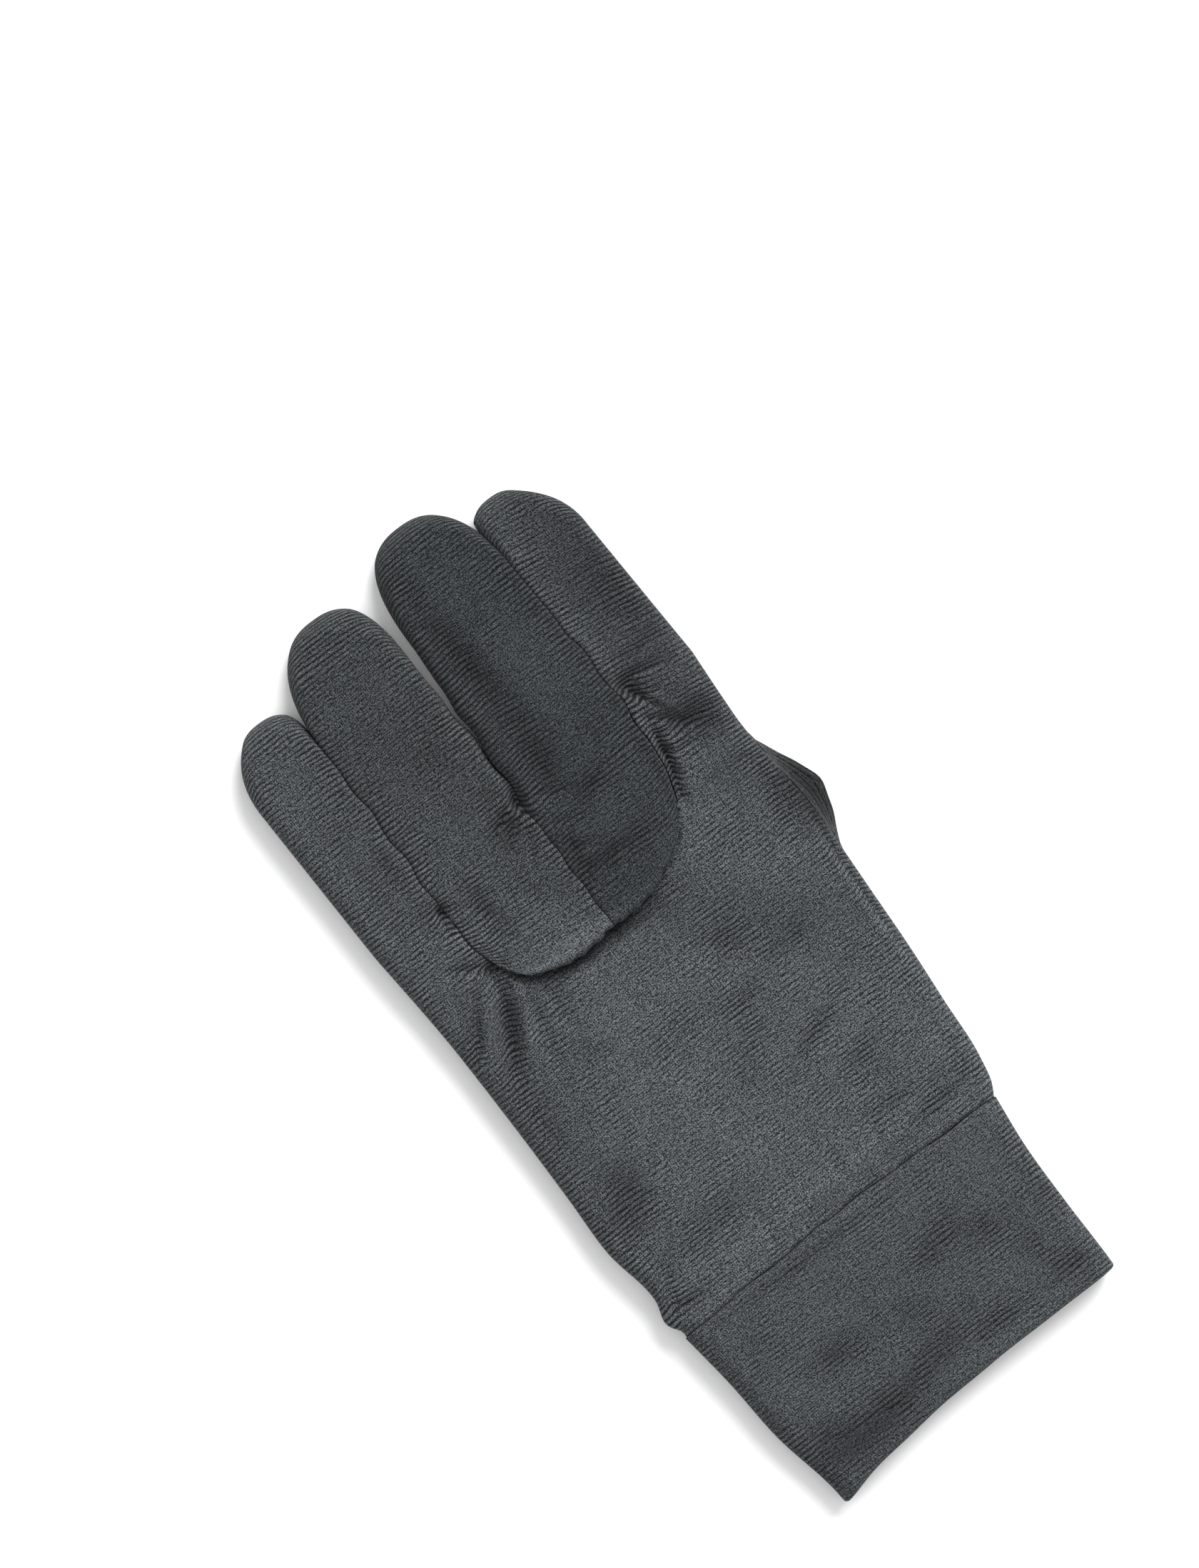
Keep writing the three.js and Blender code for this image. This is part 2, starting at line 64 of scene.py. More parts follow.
# The table and the light
# The glove lies on a plain white table, in the light of a white room with one large soft lamp high up
# on the thumb side, a little towards the fingertips.
TABLE_SIZE = 6
TABLE_WHITE = 0.86
UNDER_GLOVE = -0.0001
ROOM_LIGHT = 0.95
LAMP_STRENGTH = 4.6
LAMP_SPREAD = math.radians(38)
LAMP_RISE = math.radians(34)
LAMP_FROM = math.radians(29)

table_mesh = bmesh.new()
bmesh.ops.create_grid(table_mesh, x_segments=1, y_segments=1, size=TABLE_SIZE / 2)
bmesh.ops.translate(table_mesh, verts=table_mesh.verts, vec=(0, 0, UNDER_GLOVE))
table_data = bpy.data.meshes.new("table")
table_mesh.to_mesh(table_data)
table_mesh.free()
table = bpy.data.objects.new("table", table_data)
bpy.context.scene.collection.objects.link(table)

white = bpy.data.materials.new("table_white")
white.use_nodes = True
paint = white.node_tree.nodes["Principled BSDF"]
paint.inputs["Base Color"].default_value = (TABLE_WHITE, TABLE_WHITE, TABLE_WHITE, 1)
paint.inputs["Roughness"].default_value = 0.9
paint.inputs["Specular IOR Level"].default_value = 0.1
table_data.materials.append(white)

lamp_data = bpy.data.lights.new("lamp", "SUN")
lamp_data.energy = LAMP_STRENGTH
lamp_data.angle = LAMP_SPREAD
lamp = bpy.data.objects.new("lamp", lamp_data)
lamp.rotation_euler = (0, math.pi / 2 - LAMP_RISE, LAMP_FROM)
bpy.context.scene.collection.objects.link(lamp)

room = bpy.data.worlds.new("room")
room.use_nodes = True
room.node_tree.nodes["Background"].inputs["Color"].default_value = (1, 1, 1, 1)
room.node_tree.nodes["Background"].inputs["Strength"].default_value = ROOM_LIGHT
bpy.context.scene.world = room
bpy.context.scene.view_settings.view_transform = "Standard"

# The back of the hand
# One panel of jersey for the back of the hand and all four finger backs. It lies underneath, and its
# edges turn up to the seams at the sides. Millimetres, with y at 0 in the cuff seam, as it was cut.
JERSEY_THICK = 0.9
LOFT = 8
THUMB_LOFT = 4.8
SIDE_ROUND = 4.6
TIP_ROUND = 3.6
SEAM_GAP = 0.3
FINGER_GAP = -0.24
SEWN_GAP = 0.05
SEAM_PINCH = 0.45
PINCH_REACH = 0.7
CUFF_TOP_WIDTH = 98.4
SEAM_BOW = 2.5
SEAM_WAVE = 0.35
SEAM_PULL = 0.5
HAND_LENGTH = 130
FINGER_WIDTHS = (22, 32, 35, 22.2)
HALF_KNUCKLE = sum(FINGER_WIDTHS) / 2
# How wide each finger's left and right edges are rounded, and how high the seams there lie
FINGER_ROUNDS = ((4.6, 1.4), (1.4, 2.8), (2.8, 1.4), (1.4, 4.6))
SEAM_RISES = ((0, 0.66), (0.66, 0.15), (0.15, 0.62), (0.62, 0))
TIP_POWER = 2.5
TIP_CORNER = 0.62
PARTING = 1.5
CROTCH_SHARE = 0.04
THUMB_MOUTH = 38
THUMB_PLACE = 94
THUMB_LENGTH = 62
THUMB_WIDTH = 31
THUMB_TURN = math.radians(45)
SLOT_HEIGHT = 5.8
LIFT_FADE = 24
LIFT_MARGINS = (2, 1)
GLOVE_PLACE = (-2.158, -72.435)
# The middle of the cuff's mouth, from which folds and the painted shade and tones are measured
MOUTH_MIDDLE = (2.4, -55)
FAR = 99

# The hand's two sides: along is a share of HAND_LENGTH, left and right of HALF_KNUCKLE
HAND_SIDES = {
    "along": (0, 0.023, 0.077, 0.208, 0.331, 0.485, 0.6, 0.715, 0.81, 0.87, 0.93, 1.038),
    "left": (0.887, 0.923, 0.903, 0.946, 0.942, 0.941, 0.944, 0.951, 0.965, 0.976, 0.987, 1),
    "right": (0.883, 0.912, 0.942, 0.966, 0.987, 1.002, 1.013, 1.023, 0.99, 0.98, 0.985, 1),
}
# Each finger's length and rounded tip in millimetres, its crotches as shares of HAND_LENGTH, and the
# width where the tip starts, and how far that place and the very tip lean, as shares of its width
FINGERS = (
    {"length": 64.5, "tip": 18.5, "crotch": (0.93, 0.93), "spread": 1.03, "lean": -0.03, "apex": 0.1},
    {"length": 72.5, "tip": 25, "crotch": (0.93, 1), "spread": 0.96, "lean": -0.016, "apex": 0.05},
    {"length": 71.2, "tip": 27, "crotch": (1, 1.038), "spread": 0.915, "lean": 0, "apex": -0.03},
    {"length": 61, "tip": 20, "crotch": (1.038, 1.038), "spread": 0.99, "lean": -0.075, "apex": -0.24},
)
# The U seam under the ring and middle fingers: across is a share of its width, along of HAND_LENGTH
U_SEAM = {
    "across": (0, 0.06, 0.175, 0.28, 0.49, 0.62, 0.73, 0.845, 0.95, 1),
    "along": (0.785, 0.738, 0.708, 0.697, 0.702, 0.704, 0.715, 0.744, 0.777, 0.815),
}
U_LEFT_IN = 0.084
U_RIGHT_IN = 0.149
U_UNEVEN = 0.45

crotch_x = np.cumsum(FINGER_WIDTHS)[:3] - HALF_KNUCKLE
crotch_y = np.array([finger["crotch"][1] for finger in FINGERS[:3]]) * HAND_LENGTH
u_left = crotch_x[0] + U_LEFT_IN * FINGER_WIDTHS[1]
u_right = crotch_x[2] - U_RIGHT_IN * FINGER_WIDTHS[2]


def mix(a, b, share):
    """The value that lies a share of the way from a to b."""
    return a + (b - a) * share


def smooth(t):
    """0 below 0, 1 above 1, and a soft rise between."""
    t = np.clip(t, 0, 1)
    return t * t * (3 - 2 * t)


def arc(t):
    """The height of a quarter circle, from 0 at its foot to 1 at its top."""
    return np.sqrt(1 - (1 - np.clip(t, 0, 1)) ** 2)


def flowing(places, values, at):
    """A smooth line through a table's values."""
    places = np.array(places, float)
    values = np.array(values, float)
    slopes = np.gradient(values, places)
    i = np.clip(np.searchsorted(places, at) - 1, 0, len(places) - 2)
    span = places[i + 1] - places[i]
    t = np.clip((at - places[i]) / span, 0, 1)
    start = (2 * t**3 - 3 * t**2 + 1) * values[i] + (t**3 - 2 * t**2 + t) * span * slopes[i]
    end = (3 * t**2 - 2 * t**3) * values[i + 1] + (t**3 - t**2) * span * slopes[i + 1]
    return start + end


def left_side(y):
    """x of the hand's little finger side."""
    return -HALF_KNUCKLE * flowing(HAND_SIDES["along"], HAND_SIDES["left"], y / HAND_LENGTH)


def right_side(y):
    """x of the hand's thumb side."""
    return HALF_KNUCKLE * flowing(HAND_SIDES["along"], HAND_SIDES["right"], y / HAND_LENGTH)


def u_height(x):
    """y of the U seam, which its stitches pull into small waves."""
    share = np.clip((x - u_left) / (u_right - u_left), 0, 1)
    uneven = ripple(x, 0 * x, 3.6, 1, 51) * smooth((x - u_left) / 14) * smooth((u_right - x) / 14)
    return HAND_LENGTH * flowing(U_SEAM["across"], U_SEAM["along"], share) + U_UNEVEN * uneven


def seam_line(x):
    """y of the cuff's seam: bowed, a little wavy, and pulled up at one place."""
    share = x / (CUFF_TOP_WIDTH / 2)
    wave = SEAM_WAVE * np.sin(x / 4.1) * np.sin(x / 9.7 + 0.8)
    pull = SEAM_PULL * np.exp(-(((x + 6) / 2.5) ** 2))
    return SEAM_BOW * (0.6 * (1 - share * share) + 0.4 * share - 0.4) + (wave + pull)


def slot_rise(y):
    """Half the height of the slot in the hand's side that the thumb opens from."""
    return SLOT_HEIGHT / 2 * np.maximum(0, 1 - ((y - THUMB_PLACE) / (THUMB_MOUTH / 2)) ** 2)


def slot_depth(y):
    """How far the slot lies in from the hand's side, which is round there."""
    return SIDE_ROUND * (1 - np.sqrt(1 - (slot_rise(y) / (LOFT / 2)) ** 2))


def lift(x, y):
    """How far the hand is raised by the thumb under it."""
    along = (-math.sin(THUMB_TURN), math.cos(THUMB_TURN))
    root = (right_side(THUMB_PLACE) - THUMB_LOFT, THUMB_PLACE)
    reach = THUMB_LENGTH - THUMB_WIDTH / 2
    share = np.clip(((x - root[0]) * along[0] + (y - root[1]) * along[1]) / reach, 0, 1)
    away = np.hypot(x - root[0] - share * reach * along[0], y - root[1] - share * reach * along[1])
    radius = mix(THUMB_MOUTH / 2 + LIFT_MARGINS[0], THUMB_WIDTH / 2 + LIFT_MARGINS[1], share)
    return (THUMB_LOFT + SEAM_GAP) * smooth(1 - (away - radius) / LIFT_FADE)


RIPPLE_WAVES = 9


def ripple(x, y, size, stretch, seed):
    """A soft random unevenness from about -1 to 1, its lumps size across and stretch times as wide."""
    dice = np.random.default_rng(seed)
    total = np.zeros_like(x)
    for _ in range(RIPPLE_WAVES):
        turn = dice.uniform(0, 2 * math.pi)
        pitch = size * dice.uniform(0.7, 1.9)
        run = (x * math.cos(turn) / stretch + y * math.sin(turn)) * 2 * math.pi / pitch
        total += np.sin(run + dice.uniform(0, 2 * math.pi))
    return total / (RIPPLE_WAVES / 2)


def unevenness(x, y, table):
    """Ripples on each other: a row gives the height, size, stretch and seed of one."""
    return sum(height * ripple(x, y, size, stretch, seed) for height, size, stretch, seed in table)


# How the hand's columns spread at the cuff, and how often x and y, which hang on each other, are found
COLUMN_SPREAD = 0.97
SETTLING_ROUNDS = 5


def hand_rows(finger, u, share, zone, apart):
    """Places in one finger's stretch of the hand: x, y, and how far in they are from the edge, from the
    stretch's left and right seams and from the U seam below."""
    far = np.full(u.shape, float(FAR))
    across = (u + 1) / 2
    lines = []
    for end in (0, 1):
        k = finger + end
        if k in (0, 4):
            lines.append(None)
            continue
        at_seam = (u_left, crotch_x[1], u_right)[k - 1]
        at_cuff = CUFF_TOP_WIDTH / 2 * COLUMN_SPREAD * crotch_x[k - 1] / HALF_KNUCKLE
        if zone == "palm":
            lines.append((mix(at_cuff, at_seam, share), at_seam))
        else:
            aside = -apart if end else apart
            lines.append((mix(at_seam, crotch_x[k - 1], arc(share)) + aside, at_seam))
    y = mix(0, HAND_LENGTH, share)
    for _ in range(SETTLING_ROUNDS):
        left = left_side(y) if lines[0] is None else lines[0][0]
        right = right_side(y) - slot_depth(y) if lines[1] is None else lines[1][0]
        x = mix(left, right, across)
        seam_left = left if lines[0] is None else lines[0][1]
        seam_right = right if lines[1] is None else lines[1][1]
        seam_y = u_height(mix(seam_left, seam_right, across))
        knuckle = mix(*FINGERS[finger]["crotch"], across) * HAND_LENGTH
        if zone == "palm":
            y = mix(seam_line(x) + SEWN_GAP, seam_y, share)
        else:
            y = mix(seam_y, knuckle, share)
    edge = np.minimum(x - left_side(y), right_side(y) - x)
    for cx, cy in zip(crotch_x, crotch_y):
        edge = np.minimum(edge, np.hypot(x - cx, y - cy))
    from_left = far if lines[0] is None or zone == "palm" else x - left
    from_right = far if lines[1] is None or zone == "palm" else right - x
    return x, y, np.maximum(edge, 0), from_left, from_right, y - seam_y


def finger_rows(finger, u, share, tip_share, apart):
    """Places on a finger: share runs from its crotches to where its tip starts, and tip_share on
    through the tip."""
    shape = FINGERS[finger]
    width = FINGER_WIDTHS[finger]
    across = (u + 1) / 2
    left_y, right_y = (along * HAND_LENGTH for along in shape["crotch"])
    base_left = left_side(left_y) if finger == 0 else crotch_x[finger - 1]
    base_right = right_side(right_y) if finger == 3 else crotch_x[finger]
    top_middle = (base_left + base_right) / 2 + width * shape["lean"]
    inner = mix(apart, FINGER_GAP / 2, np.clip(share / CROTCH_SHARE, 0, 1))
    half_top = width * shape["spread"] / 2
    parting = share**PARTING
    left = mix(base_left, top_middle - half_top, parting if finger else share) + (inner if finger else 0)
    right = mix(base_right, top_middle + half_top, parting if finger < 3 else share)
    right = right - (inner if finger < 3 else 0)
    half = (right - left) / 2
    tip_start = (left_y + right_y) / 2 + shape["length"] - shape["tip"]
    corner_rise = (1 - TIP_CORNER**TIP_POWER) ** (1 / TIP_POWER)
    narrow = (1 - (corner_rise * tip_share) ** TIP_POWER) ** (1 / TIP_POWER)
    end = (1 - (TIP_CORNER * np.abs(u)) ** TIP_POWER) ** (1 / TIP_POWER)
    x = (left + right) / 2 + width * shape["apex"] * tip_share**2 + half * u * narrow
    y = mix(mix(left_y, right_y, across), tip_start, share) + shape["tip"] * tip_share * end
    measure = ((np.abs(u) * narrow) ** TIP_POWER + (tip_share * end) ** TIP_POWER) ** (1 / TIP_POWER)
    base = np.hypot(right - left, right_y - left_y)
    reach = mix(base, right - left, np.clip(share / CROTCH_SHARE, 0, 1))
    edge = np.maximum(0, reach / 2 * (1 - measure))
    far = np.full(u.shape, float(FAR))
    return x, y, edge, far, far, far


def stretch_rows(finger, u, along, zone, apart):
    """Places in one finger's stretch: its part of the palm, its fork above the U, the finger or its tip."""
    if zone == "finger":
        return finger_rows(finger, u, along, np.zeros_like(along), apart)
    if zone == "tip":
        return finger_rows(finger, u, np.ones_like(along), along, apart)
    return hand_rows(finger, u, along, zone, apart)


def seam_rise(finger, u, tip):
    """How far above the middle of the finger's height its seam lies, as a share of that half height."""
    left, right = SEAM_RISES[finger]
    return mix(left, right, smooth((u + 1) / 2)) * (1 - smooth(2 * tip))


def rounding(edge, finger, u, tip):
    """The fabric's turn at an edge, wide at the hand's two sides and tight where fingers touch."""
    left, right = FINGER_ROUNDS[finger]
    reach = mix(left, right, smooth((u + 1) / 2))
    return arc(edge / mix(reach, TIP_ROUND, smooth(tip)))


WRAP_LENGTH = (SIDE_ROUND * 0.5 + LOFT * 0.25) * 0.42
WRAP_POWER = 1.6


def wrapped(edge):
    """How much longer the fabric is than its shadow, from a place out to its edge."""
    t = np.clip(edge / SIDE_ROUND, 0, 1)
    return WRAP_LENGTH * (1 - t) ** WRAP_POWER


def knit_place(u, x, y, edge):
    """Where a place lies in the knit, whose wales run on round the fabric's edges."""
    return np.stack([x + np.sign(u) * wrapped(edge) * np.abs(u) ** 6, y, 0 * x], 1)


def over_tip(rise, tip):
    """How much further along the courses lie where the fabric bends over a fingertip."""
    return rise * smooth(4 * tip)


def from_mouth(x, y):
    """A place as measured from the middle of the cuff's mouth."""
    return x - MOUTH_MIDDLE[0], y - MOUTH_MIDDLE[1]


# Where the yarn is painted darker: painted shade on the thumb's base, on the cuff's lower left and on the
# fingers' sides turned from the lamp, a painted shadow under the U's proud lower edge, and a painted
# highlight along the U's rim where the amount is below 0; the darker tone of the fingers and the palm's
# left side is partly painted shade. x and y from the middle of the cuff's mouth, reach across and along,
# and by how much
PAINTED_SHADE_AND_TONES = (
    (-47, 205, 10, 45, 0.17),
    (44, 212, 13, 50, 0.5),
    (44, 178, 10, 9, 0.1),
    (57.2, 146, 6.8, 22, 0.87),
    (-21, 222, 20, 38, 0.3),
    (-30, 5, 30, 10, 0.2),
    (0, 30, 60, 24, 0.05),
    (-46, 115, 11, 50, 0.2),
    (-9, 144.3, 21, 2.0, 0.42),
    (4, 205, 6, 45, 0.08),
    (-12, 149.2, 24, 1.8, -0.3),
)


def yarn_tone_and_shade(x, y):
    """The yarn's lightness at a place, as a share of its own colour, with the painted shade and highlights
    of the table above.
    """
    x, y = from_mouth(x, y)
    tone_and_shade = np.ones_like(x)
    for place_x, place_y, reach_x, reach_y, darker in PAINTED_SHADE_AND_TONES:
        away = ((x - place_x) / reach_x) ** 2 + ((y - place_y) / reach_y) ** 2
        tone_and_shade *= 1 - darker * np.exp(-(away**1.5))
    return tone_and_shade


# Where the fabric has sunk and its courses bunch up, and the yarn is painted darker as painted shade in the
# hollows: x and y, reach across and along, turn and depth
GATHERS = (
    (-40, 141, 3, 11, -30, 1.0),
    (-49, 145, 2.5, 9, -40, 0.5),
    (-27, 124, 5, 3, -20, 0.4),
    (-43, 89, 6, 9, -30, 0.85),
    (-48, 118, 3, 12, 0, 0.4),
    (-30, 72, 12, 4, 0, 0.45),
    (20, 95, 8, 2.2, 20, 0.7),
    (26, 84, 6, 2.5, 15, 0.5),
    (25, 70, 6, 2.2, 0, 0.5),
    (15, 126, 4, 4, 40, 0.6),
    (10, 112, 9, 3, 20, 0.45),
    (1, 98, 5, 5, 0, 0.35),
    (-28, 137, 7, 8, -10, 0.3),
    (-10, 115, 10, 6, 0, 0.3),
    (30, 118, 8, 2.5, 15, 0.35),
    (37, 105, 6, 3, 10, 0.3),
    (8, 104, 6, 3, 20, 0.3),
    (46, 148, 6, 13, 0, 0.35),
    (33, 62.5, 10, 2, 6, 0.8),
    (-46, 60.5, 6, 2.2, 0, 0.9),
    (35, 192, 4, 5, 0, 1.0),
    (34.2, 192.8, 2.2, 1.6, 10, 0.9),
    (31.6, 172, 1.4, 9, -14, 1.0),
    (-4.3, 186, 1.6, 3.5, 0, 1.2),
    (-36.6, 175.6, 1.9, 1.7, 0, 1.1),
    (-36, 156.6, 3, 1.4, -20, 1.0),
    (42, 176, 6, 3.5, -35, 1.1),
    (42, 199, 8, 1.6, 0, 0.5),
    (45, 215, 5, 12, 0, 0.3),
    (-47, 190, 4, 14, 0, 0.3),
    (-10, 183, 4, 5, -40, 1.0),
    (-27.5, 170, 3, 9, 0, 0.75),
    (-41, 192, 2.5, 7, 0, 0.65),
    (-41, 175, 3, 6, 0, 0.5),
    (-1, 167, 2.5, 6, -10, 0.7),
    (-15, 208, 8, 5, 0, 0.25),
    (6, 218, 4, 20, 8, 0.6),
    (6, 191, 4.5, 8, 0, 0.7),
    (12, 178, 5, 3, 30, 0.9),
    (6, 162, 6, 2.5, 10, 0.8),
    (14, 160, 6, 3, 30, 0.5),
    (20, 190, 4, 12, 0, 0.25),
    (-25, 27, 7, 4, 0, 0.6),
    (-2, 24, 5, 5, 0, 0.35),
    (12, 35, 9, 4, 20, 0.6),
    (24, 30, 6, 5, -30, 0.5),
    (31, 20, 4, 6, 10, 0.45),
    (42, 34, 3, 9, 0, 0.4),
    (-38, 12, 6, 5, -30, 0.6),
    (-28, 7, 14, 4, 8, 1.0),
    (-4, 13, 9, 4, 10, 0.7),
    (12, 10, 8, 3, 0, 0.5),
    (36, 10, 7, 4, -10, 0.6),
    (-15, 51, 26, 1.6, 0, 0.5),
    (-38, 40, 5, 6, 0, 0.25),
)
# How much darker the yarn is painted where the fabric has sunk: painted shade in the hollows
SUNK_PAINTED_SHADE = 0.42
MOST_SUNK = 1.3


def gathered(x, y):
    """How deeply the fabric has sunk at a place."""
    x, y = from_mouth(x, y)
    total = np.zeros_like(x)
    for place_x, place_y, reach_x, reach_y, turn, depth in GATHERS:
        turn = math.radians(turn)
        across = (x - place_x) * math.cos(turn) + (y - place_y) * math.sin(turn)
        along = (y - place_y) * math.cos(turn) - (x - place_x) * math.sin(turn)
        total += depth * np.exp(-((across / reach_x) ** 2) - (along / reach_y) ** 2)
    return total


def lay_out(bm, columns, rows, place, side=1):
    """A grid of fabric. place gives each point in millimetres, its place in the knit, and how strongly
    the courses stand out there, from u across (-1 to 1) and along (0 to 1)."""
    tone_and_shade = bm.verts.layers.float.get("tone_and_shade") or bm.verts.layers.float.new("tone_and_shade")
    knit = bm.verts.layers.float_vector.get("knit") or bm.verts.layers.float_vector.new("knit")
    ladder_and_shade = bm.verts.layers.float.get("ladder_and_shade") or bm.verts.layers.float.new("ladder_and_shade")
    made = bmesh.ops.create_grid(bm, x_segments=columns, y_segments=rows, size=1)["verts"]
    u = np.array([v.co.x for v in made])
    along = np.clip((np.array([v.co.y for v in made]) + 1) / 2, 0, 1)
    points, courses, strength = place(np.clip(u, -1, 1), along)
    sunk = np.minimum(gathered(points[:, 0], points[:, 1]), MOST_SUNK)
    # Painted shade darkens the yarn where the fabric has sunk.
    tones_and_shade = yarn_tone_and_shade(points[:, 0], points[:, 1]) * (1 - SUNK_PAINTED_SHADE * sunk)
    points = (points + (*GLOVE_PLACE, 0)) / 1000
    for i, v in enumerate(made):
        v.co = points[i]
        v[knit] = courses[i]
        # How strongly the courses stand out, which the jersey also turns into painted shade and highlights.
        v[ladder_and_shade] = strength[i]
        # Each point carries its tone with painted shade and highlights, which the jersey multiplies into
        # its colour.
        v[tone_and_shade] = tones_and_shade[i]
    if side < 0:
        faces = {face for v in made for face in v.link_faces}
        bmesh.ops.reverse_faces(bm, faces=list(faces))


EDGE_DRAW = 0.6


def towards_edges(u):
    """Draws the columns of a grid closer together towards its two edges."""
    return mix(u, np.sin(u * math.pi / 2), EDGE_DRAW)


def pinched(x, edge, u, finger):
    """The seams at the hand's two sides draw the fabric in a little."""
    outer = (finger == 0) * (u < 0) + (finger == 3) * (u > 0)
    return x - outer * np.sign(u) * SEAM_PINCH * np.exp(-((edge / PINCH_REACH) ** 2)) * np.abs(u) ** 8


# The waves in the seams between the fingers: how wide, how near a seam, and from where to where
STITCH_WAVE = 0.45
STITCH_REACH = 5
STITCH_RUN = (85, 178)


def seam_wave(x, y):
    """How far the stitches pull the seams between the fingers out of line."""
    near = sum(np.exp(-(((x - cx) / STITCH_REACH) ** 2)) for cx in crotch_x)
    fading = smooth((y - STITCH_RUN[0]) / 15) * smooth((STITCH_RUN[1] - y) / 30)
    return STITCH_WAVE * ripple(y, 0 * y, 8, 1, 41) * near * fading


BACK_DENT = 0.5
BACK_UNEVEN = ((0.35, 16, 1.6, 5), (0.15, 5, 2, 6))


def back_place(finger, zone):
    """The back's shape in one stretch of one finger: flat on the table, and turned up at its edges."""

    def place(u, along):
        u = towards_edges(u)
        x, y, edge, *_ = stretch_rows(finger, u, along, zone, 0)
        tip = along * (zone == "tip")
        round_off = rounding(edge, finger, u, tip)
        rise = seam_rise(finger, u, tip)
        dent = BACK_DENT + unevenness(x, y, BACK_UNEVEN)
        z = LOFT / 2 * (1 + rise) * (1 - round_off) + dent * round_off**5 + lift(x, y) - SEAM_GAP / 3
        courses = knit_place(u, x, y + over_tip(z, tip), edge)
        strength = np.exp(-((edge / 5) ** 2))
        wave = seam_wave(x, y)
        return np.stack([pinched(x, edge, u, finger) + wave, y, np.maximum(z, 0)], 1), courses, strength

    return place


# The jersey's pitches in millimetres: its courses across the hand, its wales along it, and the ribs
# that show where it is stretched
COURSE_PITCH = 1.28
WALE_PITCH = 0.57
RIB_PITCH = 0.95
YARN_LIGHT = 1.2
YARN_DARKEST = 0.12
BUMP_STRENGTH = 0.7
BUMP_HEIGHT = 0.0005
JERSEY_ROUGHNESS = 0.93
JERSEY_SPECULAR = 0.12
JERSEY_SHEEN = 0.06
SHEEN_ROUGHNESS = 0.5


